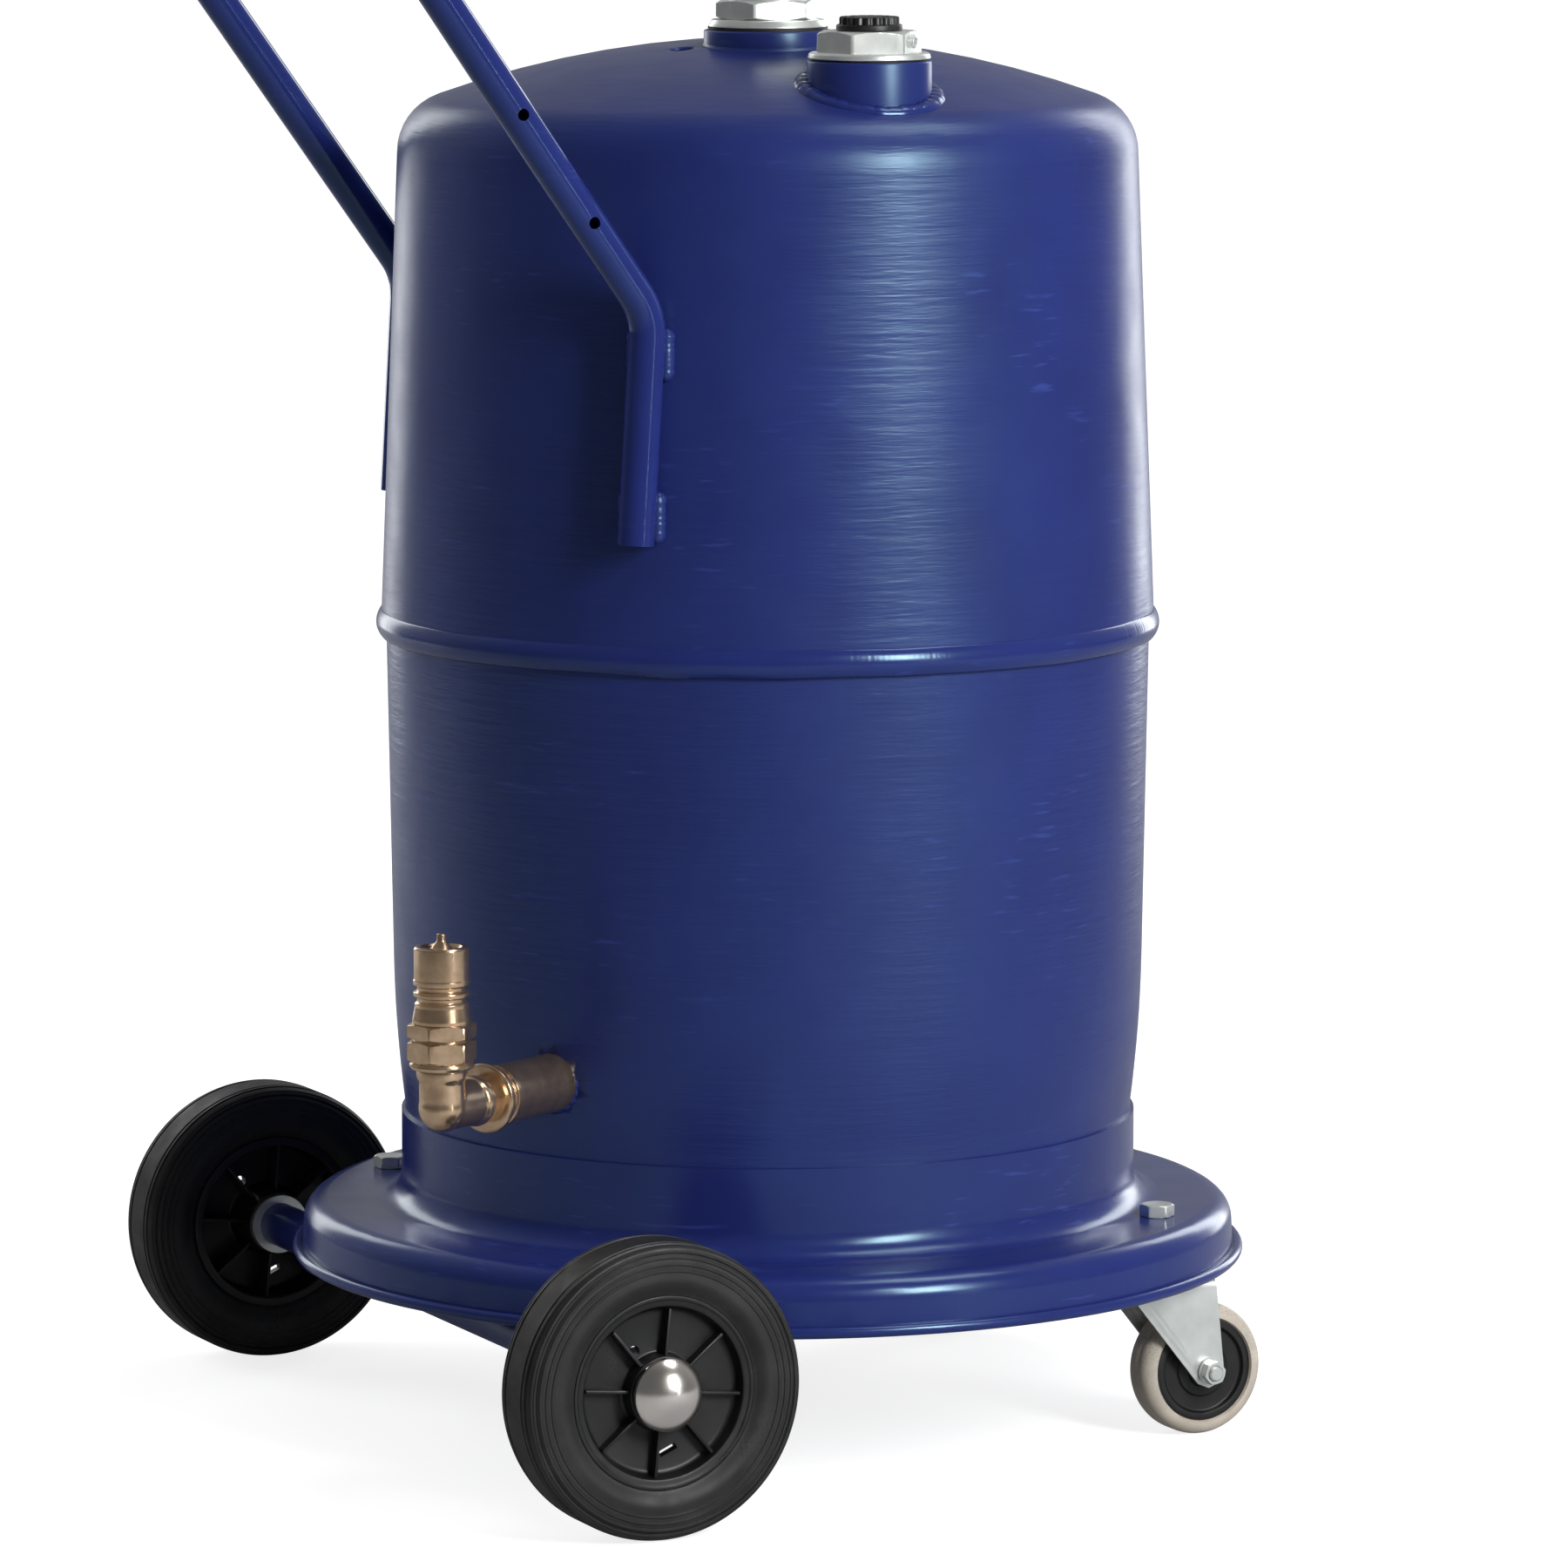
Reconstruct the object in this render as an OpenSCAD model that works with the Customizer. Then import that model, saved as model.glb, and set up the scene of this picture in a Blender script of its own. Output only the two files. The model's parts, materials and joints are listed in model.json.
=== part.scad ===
// Wheeled steel pressure tank: two drawn shells on a skirted base ring, with two filler necks,
// a brass drain coupling, a push handle, two fixed wheels and two swivel castors.
// Millimetres, +Z up, floor at z = 0, axle along X, handle and axle towards -Y.

/* [Tank] */
// Outside radius of the upper shell at the seam
seam_r = 217.2; // [214:0.1:222]
// Height of the seam between the two shells
seam_z = 452; // [430:1:480]
// Outside radius of the upper shell where its shoulder begins
shoulder_r = 206.8; // [204:0.1:210]
// Height of the top of the dome
dome_z = 778; // [770:1:790]
// Radius of the dome's crown
dome_crown_r = 548; // [500:1:620]
// Radius of the dome's shoulder
dome_knuckle_r = 33; // [26:1:40]
// Thickness of the shell plate
plate_t = 2.5; // [2:0.1:3]

/* [Base ring] */
// Outside radius of the collar that the tank stands in
collar_r = 207.3; // [206.5:0.1:208]
// Height of the collar's top edge
collar_z = 175; // [168:1:182]
// Height of the flange's top face
flange_z = 125; // [122:1:128]
// Outside radius of the rolled lip
lip_r = 269.3; // [266:0.1:272]
// Radius of the circle that the four flange bolts stand on
bolt_circle_r = 230.5; // [228:0.5:233]

/* [Necks] */
// Position of the outlet neck in X and Y
outlet_xy = [31.6, -15.1];
// Outside radius of the outlet neck
outlet_r = 35.5; // [34:0.1:37]
// Height of the outlet neck's top face
outlet_z = 784; // [783:0.5:787]
// Position of the filler neck in X and Y
filler_xy = [147, -9.5];
// Outside radius of the filler neck
filler_r = 34; // [33:0.1:35]
// Height of the filler neck's top face
filler_z = 772; // [770:0.5:775]
// Position of the blanked gauge port in X and Y
port_xy = [23.2, -63.5];

/* [Handle] */
// Outside diameter of the handle tube
handle_d = 20; // [18:0.5:22]
// Gap between the handle's legs and the tank wall
handle_gap = 0.5; // [0.3:0.1:1.5]
// Angle of the handle's feet round the tank, from +X towards -Y
handle_foot_angle = 43.95; // [40:0.05:46]
// Angle of the lower bends round the tank, from +X towards -Y
handle_bend_angle = 42.47; // [40:0.01:46]
// Height of the handle's open lower ends
handle_foot_z = 516.3; // [505:0.1:530]
// Height of the lower bend
handle_bend_z = 640; // [634:1:648]
// Height of the middle of the grip bar
handle_top_z = 995; // [940:5:1040]
// Backward lean of the handle, in mm for each mm of height
handle_lean = 0.717; // [0.6:0.001:0.8]

/* [Wheels] */
// Distance between the middles of the two fixed wheels
track = 540; // [538:1:546]
// Radius of the fixed wheels
wheel_r = 80; // [78:0.5:80]
// Distance of the axle behind the tank axis
axle_y = 198; // [196:1:202]
// Radius of the castor wheels
castor_r = 37.5; // [36:0.5:38]
// Distance of the castor axle from its swivel axis
castor_trail = 24.5; // [22:0.5:26]

/* [Hidden] */

$fn = 96;
eps = 0.01;
arc_steps = 8;

blue = [0.09, 0.16, 0.48];
zinc = [0.80, 0.82, 0.80];
brass = [0.62, 0.45, 0.28];
black = [0.09, 0.09, 0.10];
grey_tyre = [0.62, 0.57, 0.52];
steel = [0.66, 0.67, 0.68];
chrome = [0.85, 0.86, 0.88];

// Upper shell
dome_centre_z = dome_z - dome_crown_r;
dome_knuckle_x = shoulder_r - dome_knuckle_r;
dome_knuckle_z = dome_centre_z
    + sqrt(pow(dome_crown_r - dome_knuckle_r, 2) - pow(dome_knuckle_x, 2));
dome_tangent = acos(dome_knuckle_x / (dome_crown_r - dome_knuckle_r));
wall_slope = (seam_r - shoulder_r) / (dome_knuckle_z - seam_z);

// Lower shell
lap = 14;
lower_top_r = seam_r - plate_t - lap * wall_slope - 0.1;
lower_seam_r = seam_r - plate_t - 0.3;
seam_bead_r = 11;
seam_bead_sunk = 8.2;
ring_t = 2;
spigot_r = collar_r - ring_t;
waist_r = 211.2;
waist_z = 262;
waist_angle = atan((lower_seam_r - waist_r) / (seam_z - waist_z));
tuck_r = 760;
tuck_angle = acos(cos(waist_angle) - (waist_r - spigot_r) / tuck_r);
bottom_knuckle_r = 30;
bottom_knuckle_z = 152;
bottom_crown_r = 700;
bottom_knuckle_x = spigot_r - bottom_knuckle_r;
bottom_centre_z = bottom_knuckle_z
    + sqrt(pow(bottom_crown_r - bottom_knuckle_r, 2) - pow(bottom_knuckle_x, 2));
bottom_tangent = acos(bottom_knuckle_x / (bottom_crown_r - bottom_knuckle_r));

// Base ring
fillet_r = 15;
shoulder_bend_r = 13;
lip_roll_r = 3.2;
ring_foot_z = 93;
flange_under_z = flange_z - ring_t;
bracket_t = 3.5;

// Fasteners
m10_r = 5;
m10_clear_r = 5.25;
m10_af = 17;
m10_head_h = 6.8;
m10_nut_h = 8;

// Threaded necks, drawn as plain bores at the thread's minor radius
neck_bore_r = 22.4;
outlet_port_r = 15.15;
outlet_gasket_h = 1.6;
outlet_flange_h = 4.2;
outlet_hex_h = 10.4;
outlet_hex_af = 51.5;
outlet_hex_turn = 19.2;
outlet_collar_h = 5;
filler_gasket_h = 1;
filler_flange_h = 3.5;
filler_hex_h = 11.5;
filler_hex_af = 50;
filler_hex_turn = 13.8;
plug_top_z = filler_z + filler_gasket_h + filler_flange_h + filler_hex_h;
vent_bore_r = 8;
seal_r = 1.8;
seal_down = 6;
bleed_r = 2.5;
bleed_depth = 8;
bleed_up = 6;
bleed_x = filler_hex_af / 2 - bleed_depth;

// Handle
handle_splay = 0.032;
tube_r = handle_d / 2;
tube_in_r = tube_r - 2;
low_bend_r = 37;
top_bend_r = 60;
handle_rise = handle_top_z - handle_bend_z;

// A point on the centre line of a handle leg that stands by the wall
function leg_point(turn, z) =
    let (rho = seam_r - (z - seam_z) * wall_slope + handle_gap + tube_r)
    [rho * cos(turn), -rho * sin(turn), z];

foot_point = leg_point(handle_foot_angle, handle_foot_z);
low_corner = leg_point(handle_bend_angle, handle_bend_z);
top_corner = low_corner + handle_rise * [handle_splay, -handle_lean, 1];
handle_hole_r = 3.25;
handle_hole_at = [62.4, 134.4];
weld_heights = [530.5, 618];

// The frame's origin is under the middle of the whole object, so the tank axis stands ahead of it
handle_back = -top_corner.y + tube_r;
tank_y = (handle_back - lip_r) / 2;

// Drain
drain_angle = -60;
drain_z = 217;
drain_pipe_r = 12.5;
drain_bore_r = 9.5;
elbow_reach = 309;
coupling_foot_z = 239;
coupling_top_z = 305;
poppet_seat_r = 6.5;
poppet_head_z = coupling_top_z - 4.3;
guide_z = 266;
guide_h = 4;
stem_r = 2;

// Rear wheels
wheel_x = track / 2;
tyre_half = 20.4;
tyre_seat_r = 50;
rim_lip_r = 52.5;
hub_web = [3, 8];
rib_turn = -5.5;
rib_front = 15.5;
boss_r = 20;
boss_in = -22;
boss_out = 18;
bush_r = 13;
shaft_r = 10;
axle_z = wheel_r;
axle_tube_r = 12.5;
washer_t = 2.1;
end_gap = 0.3;
axle_tube_half = wheel_x + boss_in - 2 * end_gap - washer_t;
cap_r = 20;
cap_x = wheel_x + boss_out + 2 * end_gap + washer_t;
cap_h = 13;

// Castors
swivel_x = bolt_circle_r * cos(45);
castor_half = 12;
fork_half = 18;
fork_t = 2.5;
crown_z = 88;
race_z = 96;
kingpin_r = 8.2;
kingpin_foot_z = 84;
boss_foot_z = 110;
ball_r = 2.4;
ball_circle_r = 15.5;
ball_count = 12;
castor_hub_r = 28.2;
axle_bolt_r = 4;
spacer_r = 6;
leg_end_r = 9.5;
leg_back = 48;
leg_front = -4;

// ---------- shared functions and shapes ----------

function arc(cx, cy, r, from, to, steps = arc_steps) =
    [for (i = [0:steps]) let (t = from + (to - from) * i / steps) [cx + r * cos(t), cy + r * sin(t)]];

function unit(v) = v / norm(v);

function reversed(list) = [for (i = [len(list) - 1:-1:0]) list[i]];

// Places a shape that is drawn about the tank axis
module on_tank() {
    translate([0, tank_y, 0]) children();
}

// Turns local x, y, z into the given unit axes at a point
module in_axes(p, x, y, z) {
    multmatrix([[x.x, y.x, z.x, p.x], [x.y, y.y, z.y, p.y], [x.z, y.z, z.z, p.z], [0, 0, 0, 1]])
        children();
}

module ring(h, r_out, r_in) {
    difference() {
        cylinder(h = h, r = r_out);
        translate([0, 0, -1]) cylinder(h = h + 2, r = r_in);
    }
}

// A hexagonal prism with its corners turned off at the top
module hex_body(af, h, chamfer = 0.8) {
    corner = af / sqrt(3);
    intersection() {
        cylinder(h = h, r = corner, $fn = 6);
        union() {
            cylinder(h = h - chamfer, r = corner + 1);
            translate([0, 0, h - chamfer])
                cylinder(h = chamfer, r1 = corner + 0.1, r2 = corner + 0.1 - chamfer * 2);
        }
    }
}

// Draws a shape of revolution about the X axis at a wheel centre, from [radius, x] points
module turned_x(points) {
    rotate([0, 90, 0]) rotate_extrude() polygon(points);
}

// How far a bend between two directions reaches along each of them
function bend_reach(d_in, d_out, r_bend) = r_bend * tan(acos(d_in * d_out) / 2);

// The side towards which a tube turns, square to its first direction
function bend_side(d_in, d_out) = unit(d_out - (d_in * d_out) * d_in);

// A hair-thin collar that makes two lengths of tube one solid where they meet
module tube_joint(r_out, r_in) {
    proud = 0.05;
    translate([0, 0, -0.5]) ring(1, r_out + proud, r_in - proud);
}

// A tube bend that starts at the origin along +Z and turns towards +X. Children start at its end.
module tube_bend(angle, r_bend, r_out, r_in) {
    tube_joint(r_out, r_in);
    in_axes([r_bend, 0, 0], [-1, 0, 0], [0, 0, 1], [0, 1, 0])
        rotate_extrude(angle = angle)
        translate([r_bend, 0])
        difference() {
            circle(r = r_out);
            circle(r = r_in);
        }
    translate([r_bend * (1 - cos(angle)), 0, r_bend * sin(angle)]) rotate([0, angle, 0]) {
        tube_joint(r_out, r_in);
        children();
    }
}

// ---------- tank shells ----------

// Half section of the upper shell's surface, a given depth inside the plate
function upper_line(depth) = concat(
    [[seam_r - depth, seam_z]],
    arc(dome_knuckle_x, dome_knuckle_z, dome_knuckle_r - depth, 0, dome_tangent),
    arc(0, dome_centre_z, dome_crown_r - depth, dome_tangent, 90));

// Half section of the lower shell's surface, a given depth inside the plate
function lower_line(depth) = concat(
    [[lower_top_r - depth, seam_z + lap], [lower_seam_r - depth, seam_z]],
    arc(waist_r - tuck_r * cos(waist_angle), waist_z + tuck_r * sin(waist_angle),
        tuck_r - depth, -waist_angle, -tuck_angle),
    arc(bottom_knuckle_x, bottom_knuckle_z, bottom_knuckle_r - depth, 0, -bottom_tangent),
    arc(0, bottom_centre_z, bottom_crown_r - depth, -bottom_tangent, -90));

module upper_outline() {
    polygon(concat([[0, seam_z]], upper_line(0)));
}

module lower_outline() {
    polygon(concat([[0, seam_z + lap]], lower_line(0)));
}

module along_drain() {
    rotate([0, 0, drain_angle]) translate([0, 0, drain_z]) rotate([0, 90, 0]) children();
}

module upper_shell() {
    color(blue) on_tank() difference() {
        rotate_extrude($fn = 180) polygon(concat(upper_line(0), reversed(upper_line(plate_t))));
        translate([outlet_xy.x, outlet_xy.y, dome_z - 40]) cylinder(h = 60, r = outlet_r);
        translate([filler_xy.x, filler_xy.y, dome_z - 60]) cylinder(h = 80, r = filler_r);
        translate([port_xy.x, port_xy.y, dome_z - 40]) cylinder(h = 60, r = 7);
    }
}

module lower_shell() {
    color(blue) on_tank() difference() {
        rotate_extrude($fn = 180) polygon(concat(lower_line(0), reversed(lower_line(plate_t))));
        along_drain() translate([0, 0, 190]) cylinder(h = 40, r = 16.2);
    }
}

module seam_weld() {
    color(blue) on_tank() rotate_extrude($fn = 180) difference() {
        translate([seam_r - seam_bead_sunk, seam_z]) circle(r = seam_bead_r);
        upper_outline();
        lower_outline();
    }
}

// ---------- base ring and chassis ----------

module base_ring() {
    wall_x = lip_r - lip_roll_r * 2 + 0.1;
    top_x = wall_x - shoulder_bend_r;
    fillet_x = collar_r + fillet_r;
    fillet_z = flange_z + fillet_r;
    color(blue) on_tank() difference() {
        rotate_extrude($fn = 180) polygon(concat(
            [[collar_r, collar_z]],
            arc(fillet_x, fillet_z, fillet_r, 180, 270),
            arc(top_x, flange_z - shoulder_bend_r, shoulder_bend_r, 90, 0),
            arc(lip_r - lip_roll_r, ring_foot_z + lip_roll_r, lip_roll_r, 140, -180, 20),
            [[wall_x + 1 - ring_t, ring_foot_z + lip_roll_r]],
            arc(top_x, flange_z - shoulder_bend_r, shoulder_bend_r - ring_t, 0, 90),
            arc(fillet_x, fillet_z, fillet_r + ring_t, 270, 180),
            [[spigot_r, collar_z]]));
        for (turn = [45:90:315]) rotate([0, 0, turn])
            translate([bolt_circle_r, 0, flange_z - 10]) cylinder(h = 20, r = m10_clear_r);
    }
}

module flange_bolts() {
    color(zinc) on_tank() for (turn = [45:90:315]) rotate([0, 0, turn])
        translate([bolt_circle_r, 0, 0]) {
            foot = turn < 180 ? kingpin_foot_z - m10_nut_h - 2 : flange_z - 19;
            translate([0, 0, flange_z]) rotate([0, 0, 20]) hex_body(m10_af, m10_head_h);
            translate([0, 0, foot]) cylinder(h = flange_z - foot, r = m10_r);
        }
}

// The front pair hold the castors, and the rear pair hold the axle brackets
module flange_nuts() {
    color(zinc) on_tank() for (turn = [45:90:315]) rotate([0, 0, turn])
        translate([bolt_circle_r, 0, (turn < 180 ? kingpin_foot_z : flange_under_z - bracket_t) - m10_nut_h])
            difference() {
                hex_body(m10_af, m10_nut_h);
                translate([0, 0, -1]) cylinder(h = m10_nut_h + 2, r = m10_r);
            }
}

module castor_bosses() {
    color(blue) on_tank() for (side = [-1, 1])
        translate([side * swivel_x, swivel_x, boss_foot_z])
            ring(flange_under_z - boss_foot_z, 17, m10_clear_r);
}

// A pressed angle that hangs the axle tube from a rear flange bolt, with a saddle that ends below the lip
module axle_bracket(side) {
    foot = 27;
    plate = bracket_t;
    arm_r = 19;
    arm_top = 90;
    reach = axle_y - swivel_x;
    color(blue) on_tank() translate([side * swivel_x, -swivel_x, 0]) mirror([side < 0 ? 1 : 0, 0, 0])
        difference() {
            union() {
                translate([-foot / 2, -foot / 2, flange_under_z - plate]) cube([foot, foot, plate]);
                translate([foot / 2 - plate, 0, 0]) rotate([90, 0, 90]) linear_extrude(plate)
                    union() {
                        polygon([[foot / 2, flange_under_z - plate + eps],
                            [-foot / 2, flange_under_z - plate + eps], [-foot / 2, arm_top],
                            [-reach - arm_r, arm_top], [-reach - arm_r, axle_z],
                            [-reach + arm_r, axle_z]]);
                        intersection() {
                            translate([-reach, axle_z]) circle(r = arm_r);
                            translate([-reach - arm_r, axle_z - arm_r])
                                square([2 * arm_r, arm_top - axle_z + arm_r]);
                        }
                    }
            }
            translate([0, 0, flange_under_z - 10]) cylinder(h = 20, r = m10_clear_r);
            translate([0, -reach, axle_z]) rotate([0, 90, 0]) cylinder(h = 60, r = axle_tube_r);
        }
}

module on_axle(x = 0) {
    on_tank() translate([x, -axle_y, axle_z]) rotate([0, 90, 0]) children();
}

module axle_tube() {
    color(blue) on_axle(-axle_tube_half) ring(2 * axle_tube_half, axle_tube_r, shaft_r);
}

module axle_shaft() {
    half = cap_x + 5;
    color(steel) on_axle(-half) cylinder(h = 2 * half, r = shaft_r);
}

module axle_washers() {
    places = [axle_tube_half, wheel_x + boss_out + end_gap];
    color(zinc) for (x = places) {
        on_axle(x) ring(washer_t, 17, shaft_r);
        on_axle(-x - washer_t) ring(washer_t, 17, shaft_r);
    }
}

// A domed push-on cap, hollow over the end of the shaft
module hub_cap() {
    dome_r = (cap_r * cap_r + cap_h * cap_h) / (2 * cap_h);
    skirt = 2;
    rotate([0, 90, 0]) difference() {
        union() {
            cylinder(h = skirt, r = cap_r);
            translate([0, 0, skirt]) rotate_extrude()
                polygon(concat([[0, 0]],
                    arc(0, cap_h - skirt - dome_r, dome_r, asin(1 - (cap_h - skirt) / dome_r), 90)));
        }
        translate([0, 0, -1]) cylinder(h = 6, r = shaft_r);
    }
}

module hub_caps() {
    color(chrome) on_tank() for (side = [0, 1]) mirror([side, 0, 0])
        translate([cap_x, -axle_y, axle_z]) hub_cap();
}

// ---------- fixed wheels ----------

module at_wheel(side) {
    on_tank() mirror([side < 0 ? 1 : 0, 0, 0]) translate([wheel_x, -axle_y, axle_z]) children();
}

// Half outline of the tyre from its tread to its sidewall, with two tread grooves and four rings
function tyre_half_line() =
    let (round_r = 8, cx = wheel_r - round_r, cy = tyre_half - round_r, deep = 0.7,
        grooves = [6, 24, 46, 66])
    concat(
        [for (p = concat([for (g = grooves) each [[g - 4, 0], [g, deep], [g + 4, 0]]], [[90, 0]]))
            [cx + (round_r - p[1]) * cos(p[0]), cy + (round_r - p[1]) * sin(p[0])]],
        [for (r = [cx - 2.5, cx - 6]) each [[r + 0.8, tyre_half], [r, tyre_half - deep],
            [r - 0.8, tyre_half]]]);

module wheel_tyre(side) {
    half = tyre_half_line();
    color(black) at_wheel(side) turned_x(concat(
        [[tyre_seat_r, 15], [tyre_seat_r, -15], [rim_lip_r + 1, -17.5]],
        [for (i = [len(half) - 1:-1:0]) [half[i].x, -half[i].y]],
        half,
        [[rim_lip_r + 1, 17.5], [rim_lip_r, 17.3], [rim_lip_r, 15.6]]));
}

module wheel_hub(side) {
    rib_count = 8;
    rib_t = 2.6;
    rib_back = -14;
    color(black) at_wheel(side) difference() {
        union() {
            turned_x([[46, -16.5], [tyre_seat_r, -16.5], [tyre_seat_r, 15], [rim_lip_r, 15.6],
                [rim_lip_r, 17.3], [46, 17.3]]);
            turned_x([[boss_r - 1, hub_web[0]], [47, hub_web[0]], [47, hub_web[1]],
                [boss_r - 1, hub_web[1]]]);
            turned_x([[bush_r, boss_in], [boss_r - 2, boss_in], [boss_r, 0], [boss_r, boss_out],
                [bush_r, boss_out]]);
            for (i = [0:rib_count - 1]) rotate([360 / rib_count * i + rib_turn, 0, 0])
                translate([rib_back, -rib_t / 2, boss_r - 2])
                cube([rib_front - rib_back, rib_t, 47 - boss_r + 2]);
        }
        translate([boss_in - 1, 0, 0]) rotate([0, 90, 0]) cylinder(h = 50, r = bush_r);
        rotate([32, 0, 0]) translate([hub_web[0] - 1, 0, 26]) rotate([0, 90, 0])
            cylinder(h = 7, r = 3.2);
        rotate([178, 0, 0]) translate([hub_web[0] - 1, 0, 33]) rotate([24, 0, 0])
            translate([0, -6.5, -2]) cube([7, 13, 4]);
    }
}

module wheel_bush(side) {
    color([0.85, 0.84, 0.80]) at_wheel(side)
        turned_x([[shaft_r + 0.05, boss_in], [bush_r, boss_in], [bush_r, boss_out],
            [shaft_r + 0.05, boss_out]]);
}

// ---------- castors ----------

module at_swivel(side) {
    on_tank() mirror([side < 0 ? 1 : 0, 0, 0]) translate([swivel_x, swivel_x, 0]) children();
}

module at_castor_axle(side, x = 0) {
    at_swivel(side) translate([x, castor_trail, castor_r]) rotate([0, 90, 0]) children();
}

// The fixed half of each swivel: a swaged kingpin with the upper ball race
module castor_heads() {
    color(zinc) for (side = [-1, 1]) at_swivel(side) rotate_extrude() polygon([
        [m10_clear_r, kingpin_foot_z], [12, kingpin_foot_z], [12, kingpin_foot_z + 2.5],
        [kingpin_r, kingpin_foot_z + 3.4], [kingpin_r, race_z], [21, race_z],
        [23, race_z - 3], [24.5, race_z - 3], [22.5, race_z + 2.5], [14, race_z + 2.5],
        [13, race_z + 4], [13, boss_foot_z], [m10_clear_r, boss_foot_z]]);
}

module castor_balls(side) {
    color(steel) at_swivel(side) for (i = [0:ball_count - 1]) rotate([0, 0, 360 * i / ball_count])
        translate([ball_circle_r, 0, crown_z + fork_t + ball_r]) sphere(r = ball_r, $fn = 32);
}

// Point where a line from p touches the leg's round end, on the given side
function touch_point(p, r, side) =
    let (d = norm(p), base = atan2(p.y, p.x), spread = acos(r / d))
    r * [cos(base + side * spread), sin(base + side * spread)];

module fork_leg() {
    top = crown_z + fork_t - castor_r;
    back = [-leg_back, top];
    back_low = [-leg_back + 3, top - 12];
    front = [-leg_front, top];
    linear_extrude(fork_t) difference() {
        union() {
            circle(r = leg_end_r);
            polygon([back, back_low, touch_point(back_low, leg_end_r, 1),
                touch_point(front, leg_end_r, -1), front]);
        }
        circle(r = axle_bolt_r);
    }
}

module castor_fork(side) {
    color(zinc) at_swivel(side) difference() {
        union() {
            for (x = [-fork_half, fork_half - fork_t])
                translate([x, castor_trail, castor_r]) rotate([90, 0, 90]) fork_leg();
            translate([-fork_half, castor_trail - leg_back, crown_z])
                cube([2 * fork_half, leg_back - leg_front, fork_t]);
        }
        translate([0, 0, crown_z - 1]) cylinder(h = 5, r = kingpin_r + 0.3);
        for (x = [-1, 1], y = [castor_trail - leg_back, castor_trail - leg_front])
            translate([x * fork_half, y, 0]) rotate([0, 0, 45])
                translate([0, 0, crown_z + fork_t / 2]) cube([8, 8, 10], center = true);
    }
}

module castor_bolt(side) {
    grip = fork_half + 0.2;
    color(zinc) at_castor_axle(side, -grip - 5.3) {
        hex_body(13, 5.3);
        cylinder(h = 2 * grip + 5.3 + 8.5, r = axle_bolt_r);
    }
}

module castor_nut(side) {
    color(zinc) at_castor_axle(side, fork_half + 0.2) difference() {
        hex_body(13, 7, 1.6);
        translate([0, 0, -1]) cylinder(h = 10, r = axle_bolt_r);
    }
}

module castor_spacer(side) {
    half = fork_half - fork_t;
    color(steel) at_castor_axle(side, -half) ring(2 * half, spacer_r, axle_bolt_r);
}

module castor_hub(side) {
    half = castor_half;
    color(black) at_castor_axle(side) rotate_extrude() polygon([
        [spacer_r + 0.05, -half - 2.5], [10, -half - 2.5], [10.5, -4], [23, -3], [23.5, -half + 1],
        [castor_hub_r, -half + 0.6], [castor_hub_r - 1.6, 0], [castor_hub_r, half - 0.6],
        [23.5, half - 1], [23, 3], [10.5, 4], [10, half + 2.5], [spacer_r + 0.05, half + 2.5]]);
}

module castor_tyre(side) {
    half = castor_half;
    round_r = 5;
    color(grey_tyre) at_castor_axle(side) rotate_extrude() polygon(concat(
        [[castor_hub_r, -half + 0.6]],
        arc(castor_r - round_r, -half + round_r, round_r, -90, 0),
        arc(castor_r - round_r, half - round_r, round_r, 0, 90),
        [[castor_hub_r, half - 0.6], [castor_hub_r - 1.6, 0]]));
}

// ---------- necks ----------

module at_outlet(z) {
    on_tank() translate([outlet_xy.x, outlet_xy.y, z]) children();
}

module at_filler(z) {
    on_tank() translate([filler_xy.x, filler_xy.y, z]) children();
}

module outlet_neck() {
    depth = 24;
    color(blue) at_outlet(outlet_z - depth) difference() {
        union() {
            cylinder(h = depth - 1, r = outlet_r);
            translate([0, 0, depth - 1]) cylinder(h = 1, r1 = outlet_r, r2 = outlet_r - 1);
        }
        translate([0, 0, -1]) cylinder(h = depth + 2, r = neck_bore_r);
    }
}

module outlet_gasket() {
    color(black) at_outlet(outlet_z) ring(outlet_gasket_h, 33.2, neck_bore_r);
}

module outlet_adaptor() {
    spigot = 18;
    hex_z = outlet_gasket_h + outlet_flange_h;
    top = hex_z + outlet_hex_h + outlet_collar_h;
    color(zinc) at_outlet(outlet_z) difference() {
        union() {
            translate([0, 0, -spigot]) cylinder(h = spigot + outlet_gasket_h + eps, r = neck_bore_r);
            translate([0, 0, outlet_gasket_h]) cylinder(h = outlet_flange_h, r1 = 33, r2 = 31);
            translate([0, 0, hex_z - eps]) rotate([0, 0, outlet_hex_turn])
                hex_body(outlet_hex_af, outlet_hex_h + eps, 1);
            translate([0, 0, hex_z + outlet_hex_h - 1]) cylinder(h = outlet_collar_h + 1, r = 21.5);
        }
        translate([0, 0, -spigot - 1]) cylinder(h = top + spigot + 2, r = outlet_port_r);
    }
}

// A black socket-headed plug that blanks the gauge port
module gauge_port_plug() {
    face = dome_centre_z + sqrt(pow(dome_crown_r, 2) - pow(norm(port_xy), 2)) - 2;
    color(black) on_tank() translate([port_xy.x, port_xy.y, face - 10]) difference() {
        cylinder(h = 10, r = 7);
        translate([0, 0, 5]) cylinder(h = 6, r = 4, $fn = 6);
    }
}

module filler_neck() {
    depth = 37;
    color(blue) at_filler(filler_z - depth) difference() {
        union() {
            cylinder(h = depth - 1, r = filler_r);
            translate([0, 0, depth - 1]) cylinder(h = 1, r1 = filler_r, r2 = filler_r - 1);
        }
        translate([0, 0, -1]) cylinder(h = depth + 2, r = neck_bore_r);
    }
}

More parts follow.
